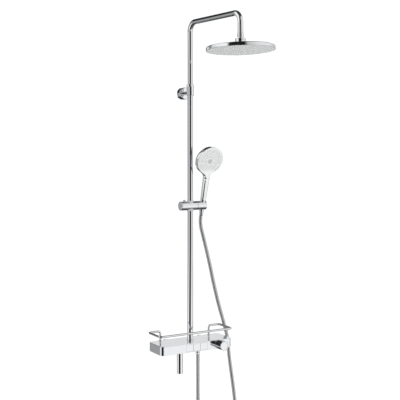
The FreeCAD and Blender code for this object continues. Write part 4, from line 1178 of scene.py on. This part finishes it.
class SHOWER_OT_stage(bpy.types.Operator):
    """Sets the camera, the white studio, the soft lights and the floor"""
    bl_idname = "shower.stage"
    bl_label = "Stage"

    def execute(self, context):
        scene = context.scene
        data = bpy.data.cameras.new("view")
        data.lens = CAMERA_LENS
        data.clip_end = 60.0
        camera = bpy.data.objects.new("view", data)
        camera.location = CAMERA_PLACE
        data.shift_y = CAMERA_SHIFT
        camera.rotation_euler = (math.radians(90 - CAMERA_FALL), 0, math.radians(-CAMERA_AZIMUTH))
        scene.collection.objects.link(camera)
        scene.camera = camera
        scene.view_settings.view_transform = "Standard"
        scene.world = studio_world()
        for name, place, power in (
            ("soft_light_left", (-3.2, -2.6, 2.6), 60.0), ("soft_light_right", (2.6, -3.4, 2.2), 40.0),
        ):
            light = bpy.data.lights.new(name, "AREA")
            light.size = 2.4
            light.energy = power
            lamp = bpy.data.objects.new(name, light)
            lamp.location = place
            aim = Vector((0, RISER_Y, 0.5)) - Vector(place)
            lamp.rotation_euler = aim.to_track_quat("-Z", "Y").to_euler()
            lamp.visible_glossy = False
            scene.collection.objects.link(lamp)
        form = bmesh.new()
        bmesh.ops.create_circle(form, cap_ends=True, segments=64, radius=FLOOR_RADIUS)
        floor = solid("pale_floor", form)
        floor.data.transform(Matrix.Translation((0, 0, CAD_BOX[0][2] - FLOOR_DROP)))
        pale = (0.97, 0.97, 0.97)
        made, tree, shader, place = new_material("pale_floor", pale, 0.0, {"Roughness": 0.9})
        tint(tree, noise(tree, place, 1.5), shader, pale, 0.98 / 0.97)
        floor.data.materials.append(made)
        floor.visible_glossy = False
        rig.stage(floor)
        return {"FINISHED"}


# ---------------------------------------------------------------- riser, bracket and arm
def ball_arc(start, end, radius, steps=10):
    """Points of a ball's outline from one height to another."""
    points = []
    for step in range(steps + 1):
        height = start + (end - start) * step / steps
        points.append((math.sqrt(max(radius ** 2 - height ** 2, 0)), height))
    return points


class SHOWER_OT_riser(bpy.types.Operator):
    """Turns the lower riser tube, the ring at its foot and the clamp above it"""
    bl_idname = "shower.riser"
    bl_label = "Riser"

    def execute(self, context):
        sizes = context.scene.shower_riser
        centre = (0, RISER_Y, 0)
        foot, top = heights("lower_riser")
        bore = sizes.lower_radius - sizes.lower_wall
        profile = tube_outline(bore, sizes.lower_radius, foot, top)
        stands_for(turned_piece("riser_lower_tube", profile, centre, closed=True), "lower_riser")
        foot, top = heights("riser_base_ring")
        wide = half_width("riser_base_ring")
        profile = tube_outline(sizes.lower_radius, wide, foot, top)
        ring = turned_piece("riser_foot_ring", profile, centre, radii={2: 0.0012}, closed=True)
        stands_for(ring, "riser_base_ring")
        foot, top = heights("clamp_collar")
        wide = half_width("clamp_collar")
        inner = sizes.arm_radius + 0.0001
        seam = 0.0006           # the shadow line at the clamp's foot
        profile = [
            (inner, foot), (wide - seam, foot), (wide - seam, foot + seam), (wide, foot + 2 * seam),
            (wide, top), (inner, top),
        ]
        clamp = turned_piece("riser_clamp", profile, centre, radii={3: 0.0004, 4: 0.0016}, closed=True)
        stands_for(clamp, "clamp_collar")
        return {"FINISHED"}


class SHOWER_OT_bracket(bpy.types.Operator):
    """Makes the wall bracket with its rosette and wall screws"""
    bl_idname = "shower.bracket"
    bl_label = "Wall bracket"

    def execute(self, context):
        sizes = context.scene.shower_riser
        low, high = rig.box("wall_bracket")
        middle_z = box_middle("bracket_rosette").z
        band_half, bar, flange, skirt, sheet = 0.010, 0.007, 0.019, 0.004, 0.0015
        ring_low, ring_high = middle_z - band_half, middle_z + band_half
        wide = half_width("clamp_collar")
        centre = (0, RISER_Y, 0)
        profile = tube_outline(0, wide, ring_low, ring_high)
        band = turned_piece("bracket_arm", profile, centre, radii={1: 0.0014, 2: 0.0005})
        across = (0, 0, middle_z)
        carve(band, rod(bar, RISER_Y, high.y - 0.001, "Y", across), "UNION")
        carve(band, rod(flange, high.y - skirt, high.y, "Y", across), "UNION")
        carve(band, rod(sizes.lower_radius, low.z - 0.05, high.z + 0.05, "Z", centre))
        finished(band, "wall_bracket")
        wide = half_width("bracket_rosette")
        front = box_low("bracket_rosette").y
        profile = [
            (bar, front), (wide, front), (wide, 0), (wide - sheet, 0), (wide - sheet, front + sheet),
            (bar, front + sheet),
        ]
        cup = turned_piece("bracket_cover", profile, across, "Y", {1: 0.0035, 2: 0.0003}, True)
        finished(cup, "bracket_rosette")
        head = 0.0025
        shoulder = box_low("bracket_screws").y + head
        shank = box_high("bracket_screws").y - shoulder
        place = Matrix.Translation((0, shoulder, middle_z)) @ Matrix.Rotation(math.pi / 2, 4, "X")
        screws = grown(
            "bracket_wall_screws", screw_tree(), place, "steel", Width=0.0, Depth=0.026, Columns=1, Rows=2,
            Head_Radius=0.0043, Head_Height=head, Shank_Radius=0.0022, Shank_Length=shank,
        )
        stands_for(screws, "bracket_screws")
        return {"FINISHED"}


class SHOWER_OT_arm(bpy.types.Operator):
    """Bends the upper tube into the overhead arm and turns the nut at its end"""
    bl_idname = "shower.arm"
    bl_label = "Overhead arm"

    def execute(self, context):
        sizes = context.scene.shower_riser
        low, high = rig.box("mast_tube")
        radius = sizes.arm_radius
        arm_z, front = high.z - radius, low.y + radius
        nut_low, nut_high = heights("arm_end_nut")
        line = bent_path(
            [(0, RISER_Y, low.z), (0, RISER_Y, arm_z), (0, front, arm_z), (0, front, nut_high)],
            sizes.arm_bend, 32,
        )
        wall = 0.001
        tube = solid("arm_tube", tube_form(bmesh.new(), line, radius, 64, radius - wall), 40.0)
        stands_for(tube, "mast_tube")
        wide = half_width("arm_end_nut")
        throat, bore, floor = 0.005, 0.009, nut_low + 0.0035
        profile = [
            (throat, nut_low), (wide, nut_low), (wide, nut_high), (bore, nut_high), (bore, floor), (throat, floor),
        ]
        nut = turned_piece("arm_nut", profile, (0, front, 0), radii={1: 0.0010, 2: 0.0010}, closed=True)
        finished(nut, "arm_end_nut")
        ball, neck, shank, bore = 0.008, 0.005, 0.009, 0.003
        above = 0.0105      # from the ball's centre up to the nut
        shoulder, end = above + 0.0035, above + 0.0275
        profile = ball_arc(-math.sqrt(ball ** 2 - bore ** 2), math.sqrt(ball ** 2 - neck ** 2), ball, 16)
        profile += [(neck, shoulder), (shank, shoulder), (shank, end), (bore, end)]
        stud = turned_piece("arm_ball_stud", profile, (0, front, nut_low - above), closed=True, segments=64)
        dress(stud, BODY_OF["ball_stud"], "chrome", "ball_stud")
        even_normals(stud)
        return {"FINISHED"}


class SHOWER_OT_rain_head(bpy.types.Operator):
    """Makes the rain head: hub, ball cap, pan, face and soft nozzles"""
    bl_idname = "shower.rain_head"
    bl_label = "Rain head"

    def execute(self, context):
        sizes = context.scene.shower_head
        place = rain_head_place()
        top = -sizes.hub_depth
        foot = top - sizes.thickness
        split, seat, cap_top, throat = -0.001, 0.01055, 0.0065, 0.009
        hub = sizes.hub_radius

        def part(name, node, profile, radii, **turning):
            finished(placed(turned_piece(name, profile, (0, 0, 0), radii=radii, **turning), place), node)

        profile = [(0, top), (hub, top), (hub, split - 0.0002)] + ball_arc(split - 0.0002, -seat, seat)
        part("head_socket", "head_hub", profile, {2: 0.0004})
        profile = [(hub, split), (hub, cap_top), (throat, cap_top)]
        profile += ball_arc(math.sqrt(seat ** 2 - throat ** 2), split, seat)
        part("head_ball_cap", "hub_cap", profile, {0: 0.0004, 1: 0.0024, 2: 0.0004}, closed=True)
        rim, lip = sizes.radius - 0.0015, foot + 0.002
        profile = [(0, top), (sizes.radius, top), (sizes.radius, foot), (rim, foot), (rim, lip), (0, lip)]
        part("head_pan", "rain_head_shell", profile, {1: 0.0032, 2: 0.0008, 3: 0.0003}, segments=192)
        recess = foot + 0.0004
        profile = tube_outline(0, rim - 0.0001, lip, recess)
        part("head_face", "rain_head_face", profile, {2: 0.0004}, segments=192)
        down = place @ Matrix.Translation((0, 0, recess)) @ Matrix.Rotation(math.pi, 4, "X")
        nozzles = grown(
            "head_nozzles", nozzle_tree(), down, "soft_silicone", Rings=sizes.rings, Empty_Rings=0,
            Spacing=sizes.spacing, Radius=sizes.nozzle, Height=sizes.nozzle_height,
        )
        stands_for(nozzles, "rain_nozzle_mat")
        return {"FINISHED"}


# ---------------------------------------------------------------- mixer
class SHOWER_OT_mixer(bpy.types.Operator):
    """Makes the mixer's casing, the shelf plate on it and the screws under it"""
    bl_idname = "shower.mixer"
    bl_label = "Mixer body"

    def execute(self, context):
        sizes = context.scene.shower_mixer
        low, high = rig.box("mixer_casing")
        casing = slab("casing", low, high, sizes.corner, sizes.edge, 16)
        wall = Vector((sizes.wall, sizes.wall, 0))
        hollow_low = low + wall - Vector((0, 0, 0.01))
        hollow_high = high - wall - Vector((0, 0, sizes.wall))
        carve(casing, slab("hollow", hollow_low, hollow_high, sizes.corner - sizes.wall, 0.0002, 8))
        keys = [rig.box(node) for node in ("head_key", "hand_key", "spout_key")]
        gap = 0.0003
        window_low = (min(k[0].x for k in keys) - gap, low.y - 0.01, keys[0][0].z - gap)
        window_high = (max(k[1].x for k in keys) + gap, low.y + 0.01, keys[0][1].z + gap)
        carve(casing, block(window_low, window_high))
        finished(casing, "mixer_casing")
        chrome = tuple(context.scene.shower_finishes.chrome)
        casing.data.materials[0] = front_finish(chrome, box_high("mixer_casing").x - sizes.corner)
        low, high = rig.box("shelf_plate")
        plate = slab("shelf_top", low, high, sizes.corner, 0.0005, 16)
        finished(plate, "shelf_plate")
        low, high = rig.box("cover_screws")
        middle = (low + high) / 2
        head, head_radius = 0.0012, 0.003
        place = Matrix.Translation((middle.x, middle.y, low.z + head)) @ Matrix.Rotation(math.pi, 4, "X")
        screws = grown(
            "cover_cross_screws", screw_tree(), place, "steel", Width=high.x - low.x - 2 * head_radius,
            Depth=high.y - low.y - 2 * head_radius, Columns=2, Rows=2, Head_Radius=head_radius, Head_Height=head,
            Shank_Radius=0.0015, Shank_Length=high.z - low.z - head,
        )
        stands_for(screws, "cover_screws")
        return {"FINISHED"}


class SHOWER_OT_rail(bpy.types.Operator):
    """Bends the guard rail round the shelf"""
    bl_idname = "shower.rail"
    bl_label = "Guard rail"

    def execute(self, context):
        sizes = context.scene.shower_mixer
        radius = sizes.rail_radius
        low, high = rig.box("guard_rail")
        foot, top = box_high("shelf_plate").z, high.z - radius
        side, front, rear = high.x - radius, low.y + radius, high.y - radius
        post = box_high("rail_nuts").x - 0.0052
        line = bent_path(
            [(-post, rear, low.z + 0.006), (-post, rear, top), (-side, rear, top), (-side, front, top),
             (side, front, top), (side, rear, top), (post, rear, top), (post, rear, low.z + 0.006)],
            sizes.rail_bend, 12,
        )
        bar = solid("rail_bar", tube_form(bmesh.new(), line, radius, 32), 40.0)
        feet = []
        collar = 0.0022
        for x in (-post, post):
            profile = tube_outline(0, radius + collar, foot, foot + collar)
            feet.append(turned_piece("foot", profile, (x, rear, 0), radii={2: 0.0010}, segments=SMALL_ROUND))
        stands_for(merged("rail_with_feet", bar, *feet), "guard_rail")
        return {"FINISHED"}


class SHOWER_OT_keys(bpy.types.Operator):
    """Makes the three outlet keys with their springs"""
    bl_idname = "shower.keys"
    bl_label = "Outlet keys"

    def execute(self, context):
        springs = spring_tree()
        manifold = box_low("valve_manifold").y
        travel = 0.003
        for number, node in enumerate(("head_key", "hand_key", "spout_key")):
            low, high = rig.box(node)
            back = low.y + 0.003
            tile = soft_block(node.replace("key", "button"), low, (high.x, back, high.z), 0.0004)
            middle = (low + high) / 2
            carve(tile, rod(0.005, back - 0.0005, high.y, "Y", (middle.x, 0, 0), 32), "UNION")
            finished(tile, node)
            place = Matrix.Translation((middle.x, back, 0)) @ Matrix.Rotation(-math.pi / 2, 4, "X")
            spring = grown(
                node.replace("key", "spring"), springs, place, "steel", Turns=6.0, Radius=0.0061,
                Length=manifold - back, Wire=0.0005,
            )
            dress(spring, "column", "steel", *(["key_springs"] if number == 0 else []))
            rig.squash(
                spring, node + "_press", axis=(0, 1, 0), anchor=(middle.x, manifold, 0),
                keep=1 - travel / (manifold - back),
            )
        return {"FINISHED"}


class SHOWER_OT_knob(bpy.types.Operator):
    """Turns the temperature knob with its cap and safety stop button"""
    bl_idname = "shower.knob"
    bl_label = "Temperature knob"

    def execute(self, context):
        radius = context.scene.shower_mixer.knob_radius
        low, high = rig.box("temperature_knob")
        cap_low, cap_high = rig.box("knob_cap")
        button = box_middle("stop_button")
        centre = (box_middle("knob_cap").x, 0, box_middle("knob_cap").z)
        cap = half_width("knob_cap")
        waist, bore, floor = radius - 0.0006, 0.011, high.y - 0.0249
        profile = [
            (0, cap_high.y), (cap, cap_high.y), (cap, low.y), (radius, low.y), (radius, high.y - 0.0030),
            (waist, high.y - 0.0026), (waist, high.y), (bore, high.y), (bore, floor), (0, floor),
        ]
        knob = turned_piece("knob_grip", profile, centre, "Y", {2: 0.0002, 3: 0.0009, 4: 0.0002, 6: 0.0004})
        carve(knob, rod(0.0045, 0.0115, 0.03, "Z", (button.x, button.y, 0), SMALL_ROUND))
        finished(knob, "temperature_knob")
        dish, edge = cap_low.y + 0.0003, cap - 0.0001
        profile = [
            (0, dish), (cap - 0.0035, dish), (cap - 0.0030, cap_low.y), (edge, cap_low.y), (edge, cap_high.y),
            (0, cap_high.y),
        ]
        plate = turned_piece("knob_front_plate", profile, centre, "Y", {1: 0.0003, 2: 0.0003, 3: 0.0004})
        finished(plate, "knob_cap")
        foot, top = heights("stop_button")
        wide = half_width("stop_button")
        dish = top - 0.0003
        profile = [(0, foot), (wide, foot), (wide, top), (wide * 0.45, top), (wide * 0.35, dish), (0, dish)]
        stop = turned_piece("knob_stop_button", profile, (button.x, button.y, 0), "Z", {2: 0.0009, 3: 0.0002},
                            segments=SMALL_ROUND)
        finished(stop, "stop_button")
        spring = button_spring("knob_stop_spring", "stop_spring", button, 0.0022)
        foot = box_low("stop_spring").z
        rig.squash(spring, "knob_stop_press", axis=(0, 0, 1), anchor=(button.x, button.y, foot), keep=0.78)
        return {"FINISHED"}


class SHOWER_OT_spout(bpy.types.Operator):
    """Turns the straight spout under the body"""
    bl_idname = "shower.spout"
    bl_label = "Spout"

    def execute(self, context):
        low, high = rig.box("spout_tube")
        middle = (low + high) / 2
        radius = (high.x - low.x) / 2
        body = box_low("mixer_casing").z
        bore, neck, shank, throat, inside = radius - 0.002, body - 0.003, 0.008, 0.006, body - 0.010
        profile = [
            (bore, low.z), (radius, low.z), (radius, neck), (bore, neck), (bore, body), (shank, body),
            (shank, high.z), (throat, high.z), (throat, inside), (bore, inside),
        ]
        radii = {0: 0.0004, 1: 0.0006, 2: 0.0035}
        spout = turned_piece("spout_barrel", profile, (middle.x, middle.y, 0), radii=radii, closed=True)
        finished(spout, "spout_tube")
        return {"FINISHED"}


# ---------------------------------------------------------------- slider and holder
class SHOWER_OT_slider(bpy.types.Operator):
    """Makes the slider with its liner, end cap and lock button"""
    bl_idname = "shower.slider"
    bl_label = "Slider"

    def execute(self, context):
        low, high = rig.box("slider_body")
        centre = (0, RISER_Y, (low.z + high.z) / 2)
        radius = (high.z - low.z) / 2
        liner_low, liner_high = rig.box("slider_liner")
        liner = (liner_high.x - liner_low.x) / 2
        button_low, button_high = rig.box("lock_button")
        button_x = (button_low.x + button_high.x) / 2
        seam = 0.0004           # the shadow line beside the end cap
        profile = [
            (0, low.x), (radius - seam, low.x), (radius - seam, low.x + seam), (radius, low.x + 2 * seam),
            (radius, high.x), (0, high.x),
        ]
        body = turned_piece("slider_barrel", profile, centre, "X", {3: 0.0003, 4: 0.0009})
        reach = radius + 0.01
        carve(body, rod(liner, centre[2] - reach, centre[2] + reach, "Z", (0, RISER_Y, 0)))
        button_bore, axle_bore, axle_end = 0.0052, 0.00505, 0.0155
        carve(body, rod(button_bore, centre[2], centre[2] + reach, "Z", (button_x, RISER_Y, 0), SMALL_ROUND))
        carve(body, rod(axle_bore, axle_end, high.x + 0.01, "X", centre, SMALL_ROUND))
        finished(body, "slider_body")
        inner = context.scene.shower_riser.lower_radius + 0.0001
        profile = tube_outline(inner, liner, liner_low.z, liner_high.z)
        sleeve = turned_piece("slider_sleeve", profile, (0, RISER_Y, 0), radii={1: 0.0007, 2: 0.0007}, closed=True)
        stands_for(sleeve, "slider_liner")
        end = box_low("slider_cap").x
        profile = tube_outline(0, radius, end, low.x)
        cap = turned_piece("slider_end_cap", profile, centre, "X", {1: 0.0018, 2: 0.0002})
        finished(cap, "slider_cap")
        foot, top, wide = button_low.z, button_high.z, (button_high.x - button_low.x) / 2
        profile = tube_outline(0, wide, foot, top)
        button = turned_piece("slider_lock_button", profile, (button_x, RISER_Y, 0), "Z", {2: 0.0018},
                              segments=SMALL_ROUND)
        finished(button, "lock_button")
        spring = button_spring("slider_lock_spring", "lock_spring", Vector((button_x, RISER_Y, 0)), 0.0032)
        spring_low, spring_top = heights("lock_spring")
        travel = 0.0035
        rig.squash(spring, "slider_lock_press", axis=(0, 0, 1), anchor=(button_x, RISER_Y, spring_low),
                  keep=1 - travel / (spring_top - spring_low))
        return {"FINISHED"}


class SHOWER_OT_holder(bpy.types.Operator):
    """Makes the turning holder with the handset's conical seat and the slot for the hose"""
    bl_idname = "shower.holder"
    bl_label = "Handset holder"

    def execute(self, context):
        sizes = context.scene.shower_handset
        low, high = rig.box("handset_holder")
        pivot = holder_pivot()
        radius = box_size("slider_body").z / 2
        profile = tube_outline(0, radius, low.x, high.x)
        body = turned_piece("holder_barrel", profile, pivot * Vector((0, 1, 1)), "X", {1: 0.0009, 2: 0.0018})
        clearance, cone_foot, cone_top = 0.0003, -0.040, 0.060
        seat, slope = sizes.foot_radius + clearance, handle_slope(sizes)
        ends = [(seat + slope * (z + sizes.foot), z) for z in (cone_foot, cone_top)]
        profile = [(0, cone_foot), *ends, (0, cone_top)]
        cone = turned_piece("seat", profile, (0, 0, 0))
        carve(body, placed(cone, handset_place()))
        slot_half = context.scene.shower_hose.diameter / 2 + 0.001
        slot = block((-slot_half, 0, -0.051), (slot_half, 0.051, 0.051))
        carve(body, placed(slot, handset_place()))
        carve(body, rod(0.005, low.x - 0.001, low.x + 0.006, "X", pivot * Vector((0, 1, 1)), SMALL_ROUND))
        finished(body, "handset_holder")
        return {"FINISHED"}


# ---------------------------------------------------------------- handset
def ease(value, start, end):
    share = min(max((value - start) / (end - start), 0.0), 1.0)
    return share * share * (3 - 2 * share)


def face_turn(sizes):
    """From the handle's frame to the centre of the head, its front towards -Y."""
    return Matrix.Translation((0, 0, sizes.centre)) @ Matrix.Rotation(sizes.pitch, 4, "X")


class HandsetForm:
    """The handset's widths and depths along the handle, from the holder's pivot up."""

    NECK_FROM, NECK_TO = 0.116, 0.139
    FACE_DEPTH = 0.0116             # of the case's front from the handle's axis
    FRONT_EDGE, BACK_EDGE = 0.0016, 0.010

    def __init__(self, sizes):
        self.sizes = sizes
        self.slope = handle_slope(sizes)
        self.edge = [(self.width(z), z) for z in self.stations(-sizes.foot, 3)]
        self.edge = [(-w, z) for w, z in self.edge] + [(w, z) for w, z in reversed(self.edge)]

    def handle(self, z):
        return self.sizes.foot_radius + self.slope * (z + self.sizes.foot)

    def disc(self, z, inset=0.0):
        reach = self.sizes.radius - inset
        return math.sqrt(max(reach ** 2 - (z - self.sizes.centre) ** 2, 0.0))

    def width(self, z):
        """Half the width of the outline."""
        if z <= self.NECK_FROM:
            return self.handle(z)
        if z >= self.NECK_TO:
            return self.disc(z)
        span = self.NECK_TO - self.NECK_FROM
        t = (z - self.NECK_FROM) / span
        first, last = self.handle(self.NECK_FROM), self.disc(self.NECK_TO)
        leave, arrive = self.slope * span, (self.sizes.centre - self.NECK_TO) / last * span
        return (
            first * (2 * t ** 3 - 3 * t ** 2 + 1) + leave * (t ** 3 - 2 * t ** 2 + t)
            + last * (3 * t ** 2 - 2 * t ** 3) + arrive * (t ** 3 - t ** 2)
        )

    def stations(self, start, fine=1):
        """Heights from start to the top, close together where the outline turns."""
        stations = []
        step = 0.004 / fine
        z = start
        while z < self.NECK_TO - step / 2:
            stations.append(z)
            z += step
        return stations + arc_heights(self.NECK_TO, self.sizes.centre, self.sizes.radius, 48 * fine)

    def to_edge(self, x, z):
        """Distance from a point of the outline's plane to the outline."""
        return math.sqrt(min((x - a) ** 2 + (z - b) ** 2 for a, b in self.edge))

    def face(self, z, depth):
        """The pitched plane of the head at this depth, front or back."""
        pitch = self.sizes.pitch
        return depth / math.cos(pitch) - math.tan(pitch) * (z - self.sizes.centre)

    def rounding(self, z, head, distance):
        """How far the surface falls back near the outline."""
        share = ease(z, self.NECK_FROM, self.NECK_TO + 0.006)
        radius = self.handle(z) * (1 - share) + head * share
        if distance >= radius:
            return 0.0
        return radius - math.sqrt(max(radius ** 2 - (radius - distance) ** 2, 0.0))

    def front(self, x, z, distance=None):
        share = ease(z, self.NECK_FROM - 0.012, self.NECK_TO + 0.006)
        base = -self.handle(z) * (1 - share) + self.face(z, -self.FACE_DEPTH) * share
        return base + self.rounding(z, self.FRONT_EDGE, self.to_edge(x, z) if distance is None else distance)

    def back(self, x, z, distance=None):
        share = ease(z, self.NECK_FROM, self.NECK_TO + 0.012)
        base = self.handle(z) * (1 - share) + self.face(z, self.sizes.depth / 2) * share
        return base - self.rounding(z, self.BACK_EDGE, self.to_edge(x, z) if distance is None else distance)


def arc_heights(start, centre, radius, steps):
    """Heights along a circle's side, from start to its top."""
    sweep = math.asin((start - centre) / radius)
    return [centre + radius * math.sin(sweep + (math.pi / 2 - sweep) * step / steps) for step in range(steps + 1)]


def skin(name, stations, width, front, back, columns=28, sharp=40.0):
    """A closed shape from an outline and its front and back surfaces."""
    form = bmesh.new()
    rows = []
    for z in stations:
        half = width(z)
        row_front, row_back = [], []
        for column in range(columns + 1):
            x = half * math.sin(math.pi * (column / columns - 0.5))
            rim = column in (0, columns)
            y_front, y_back = front(x, z, rim), back(x, z, rim)
            row_front.append(form.verts.new((x, min(y_front, y_back), z)))
            row_back.append(form.verts.new((x, max(y_front, y_back), z)))
        rows.append((row_front, row_back))
    for (low_front, low_back), (high_front, high_back) in zip(rows, rows[1:]):
        for column in range(columns):
            form.faces.new((low_front[column], low_front[column + 1], high_front[column + 1], high_front[column]))
            form.faces.new((low_back[column], high_back[column], high_back[column + 1], low_back[column + 1]))
        for column in (0, columns):
            form.faces.new((low_front[column], high_front[column], high_back[column], low_back[column]))
    for row_front, row_back in (rows[0], rows[-1]):
        for column in range(columns):
            form.faces.new((row_front[column], row_front[column + 1], row_back[column + 1], row_back[column]))
    return solid(name, form, sharp)


def handset_shell(shape):
    sizes = shape.sizes

    def front(x, z, rim):
        return shape.front(x, z, 0.0 if rim else None)

    def back(x, z, rim):
        return shape.back(x, z, 0.0 if rim else None)

    shell = skin("handset_case", shape.stations(-sizes.foot), shape.width, front, back, 32)
    pocket = rod(0.0097, -0.014, -0.004, "Y", (0, 0, 0), SMALL_ROUND)
    carve(shell, placed(pocket, face_turn(sizes)), sharp=40.0)
    stands_for(placed(shell, handset_place()), "handset_shell", "spray_disc")


def white_face(shape):
    """The white plate: a drop that runs down into the neck, with the button's hole."""
    sizes = shape.sizes
    foot, tip, corner, thickness = 0.1115, 0.0075, 0.002, 0.0018
    foot_inset = 0.0075             # of the plate's edge from the case's outline, at its foot
    proud, edge_width = 0.0004, 0.0006

    def width(z):
        if z >= shape.NECK_TO:
            return shape.disc(z, sizes.rim)
        share = ease(z, foot, shape.NECK_TO)
        inset = foot_inset * (1 - share) + sizes.rim * share
        end = max(corner - (z - foot), 0.0)
        return max(shape.width(z) - inset, tip) - corner + math.sqrt(corner ** 2 - end ** 2)

    stations = [foot + 0.0004 * n for n in range(5)]
    while stations[-1] < shape.NECK_TO - 0.003:
        stations.append(stations[-1] + 0.003)
    stations += arc_heights(shape.NECK_TO, sizes.centre, sizes.radius - sizes.rim, 40)
    edge = [(width(z), z) for z in stations]

    def front(x, z, rim):
        near = 0.0 if rim else math.sqrt(min((abs(x) - a) ** 2 + (z - b) ** 2 for a, b in edge))
        return shape.front(x, z) - proud * min(near / edge_width, 1.0)

    def back(x, z, rim):
        return shape.front(x, z) + thickness

    plate = skin("handset_white_face", stations, width, front, back, 24)
    hole = rod(0.0095, -0.016, 0.0, "Y", (0, 0, 0), SMALL_ROUND)
    carve(plate, placed(hole, face_turn(sizes)), sharp=40.0)
    stands_for(placed(plate, handset_place()), "shower_face")


def white_strip(shape):
    """The white strip on the front of the handle."""
    foot, top, narrow, wide, corner = 0.0235, 0.1095, 0.0050, 0.0072, 0.002
    thickness, proud = 0.0010, 0.0003
    stations = [foot + 0.0004 * n for n in range(6)]
    while stations[-1] < top - 0.006:
        stations.append(stations[-1] + 0.004)
    stations += [top - 0.0004 * n for n in range(5, -1, -1)]

    def width(z):
        end = max(corner - min(z - foot, top - z), 0.0)
        half = narrow + (wide - narrow) * (z - foot) / (top - foot)
        return half - corner + math.sqrt(max(corner ** 2 - end ** 2, 0.0))

    def front(x, z, rim):
        return shape.front(x, z) - (0.0 if rim else proud)

    def back(x, z, rim):
        return shape.front(x, z) + thickness

    strip = skin("handset_white_strip", stations, width, front, back, 12)
    stands_for(placed(strip, handset_place()), "handle_inlay")


class SHOWER_OT_handset(bpy.types.Operator):
    """Makes the handset: case, white face and strip, nozzles and spray button"""
    bl_idname = "shower.handset"
    bl_label = "Handset"

    def execute(self, context):
        sizes = context.scene.shower_handset
        shape = HandsetForm(sizes)
        handset_shell(shape)
        white_face(shape)
        white_strip(shape)
        front = -0.0120
        face = handset_place() @ face_turn(sizes)
        outward = face @ Matrix.Translation((0, front, 0)) @ Matrix.Rotation(math.pi / 2, 4, "X")
        nozzles = grown(
            "handset_nozzles", nozzle_tree(), outward, "grey_plastic", Rings=sizes.rings,
            Empty_Rings=sizes.empty, Spacing=sizes.spacing, Radius=0.0010, Height=0.0006,
        )
        dress(nozzles, "handset", "black_rubber")
        top, cup, stem, wide, shoulder = front - 0.0004, front - 0.0001, 0.00395, 0.0092, front + 0.0036
        profile = [(0, front + 0.0116), (stem, front + 0.0116), (stem, shoulder), (wide, shoulder), (wide, top),
                   (0.0080, top), (0.0074, cup), (0, cup)]
        button = turned_piece("handset_spray_button", profile, (0, 0, 0), "Y", {4: 0.0008, 5: 0.0002, 6: 0.0003},
                              segments=64)
        finished(placed(button, face), "spray_button")
        return {"FINISHED"}


class SHOWER_OT_inner_parts(bpy.types.Operator):
    """Gives the parts that stay as modelled their finishes"""
    bl_idname = "shower.inner_parts"
    bl_label = "Inner parts"

    def execute(self, context):
        for name, piece in NODES.items():
            if piece.hide_render:
                continue
            if not piece.data.materials:
                piece.data.materials.append(None)
            for number in range(len(piece.material_slots)):
                piece.material_slots[number].link = "OBJECT"
                piece.material_slots[number].material = finish(SLOT_OF[name])
        return {"FINISHED"}


# ---------------------------------------------------------------- panel
STEPS = [
    SHOWER_OT_stage, SHOWER_OT_hose, SHOWER_OT_riser, SHOWER_OT_bracket, SHOWER_OT_arm, SHOWER_OT_rain_head,
    SHOWER_OT_mixer, SHOWER_OT_rail, SHOWER_OT_keys, SHOWER_OT_knob, SHOWER_OT_spout, SHOWER_OT_slider,
    SHOWER_OT_holder, SHOWER_OT_handset, SHOWER_OT_inner_parts,
]
GROUPS = {
    "shower_riser": RiserSizes, "shower_head": HeadSizes, "shower_mixer": MixerSizes,
    "shower_handset": HandsetSizes, "shower_hose": HoseSizes, "shower_finishes": Finishes,
}


class SHOWER_PT_panel(bpy.types.Panel):
    """Sizes, colours and building steps of the shower column"""
    bl_idname = "SHOWER_PT_panel"
    bl_label = "Shower column"
    bl_space_type = "VIEW_3D"
    bl_region_type = "UI"
    bl_category = "Shower"

    def draw(self, context):
        for name in GROUPS:
            group = getattr(context.scene, name)
            column = self.layout.box().column()
            for label in group.__annotations__:
                column.prop(group, label)
        for step in STEPS:
            self.layout.operator(step.bl_idname)


def register():
    for name, group in GROUPS.items():
        bpy.utils.register_class(group)
        setattr(bpy.types.Scene, name, bpy.props.PointerProperty(type=group))
    for step in STEPS:
        bpy.utils.register_class(step)
    bpy.utils.register_class(SHOWER_PT_panel)


def unregister():
    bpy.utils.unregister_class(SHOWER_PT_panel)
    for step in reversed(STEPS):
        bpy.utils.unregister_class(step)
    for name, group in GROUPS.items():
        delattr(bpy.types.Scene, name)
        bpy.utils.unregister_class(group)


def main():
    register()
    bpy.ops.shower.stage()
    bpy.ops.shower.hose()
    bpy.ops.shower.riser()
    bpy.ops.shower.bracket()
    bpy.ops.shower.arm()
    bpy.ops.shower.rain_head()
    bpy.ops.shower.mixer()
    bpy.ops.shower.rail()
    bpy.ops.shower.keys()
    bpy.ops.shower.knob()
    bpy.ops.shower.spout()
    bpy.ops.shower.slider()
    bpy.ops.shower.holder()
    bpy.ops.shower.handset()
    bpy.ops.shower.inner_parts()
    sizes = {"cad": CAD_BOX, "visual": [list(corner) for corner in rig.bounds()]}
    with open("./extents.json", "w") as out:
        json.dump(sizes, out)


if __name__ == "__main__":
    main()
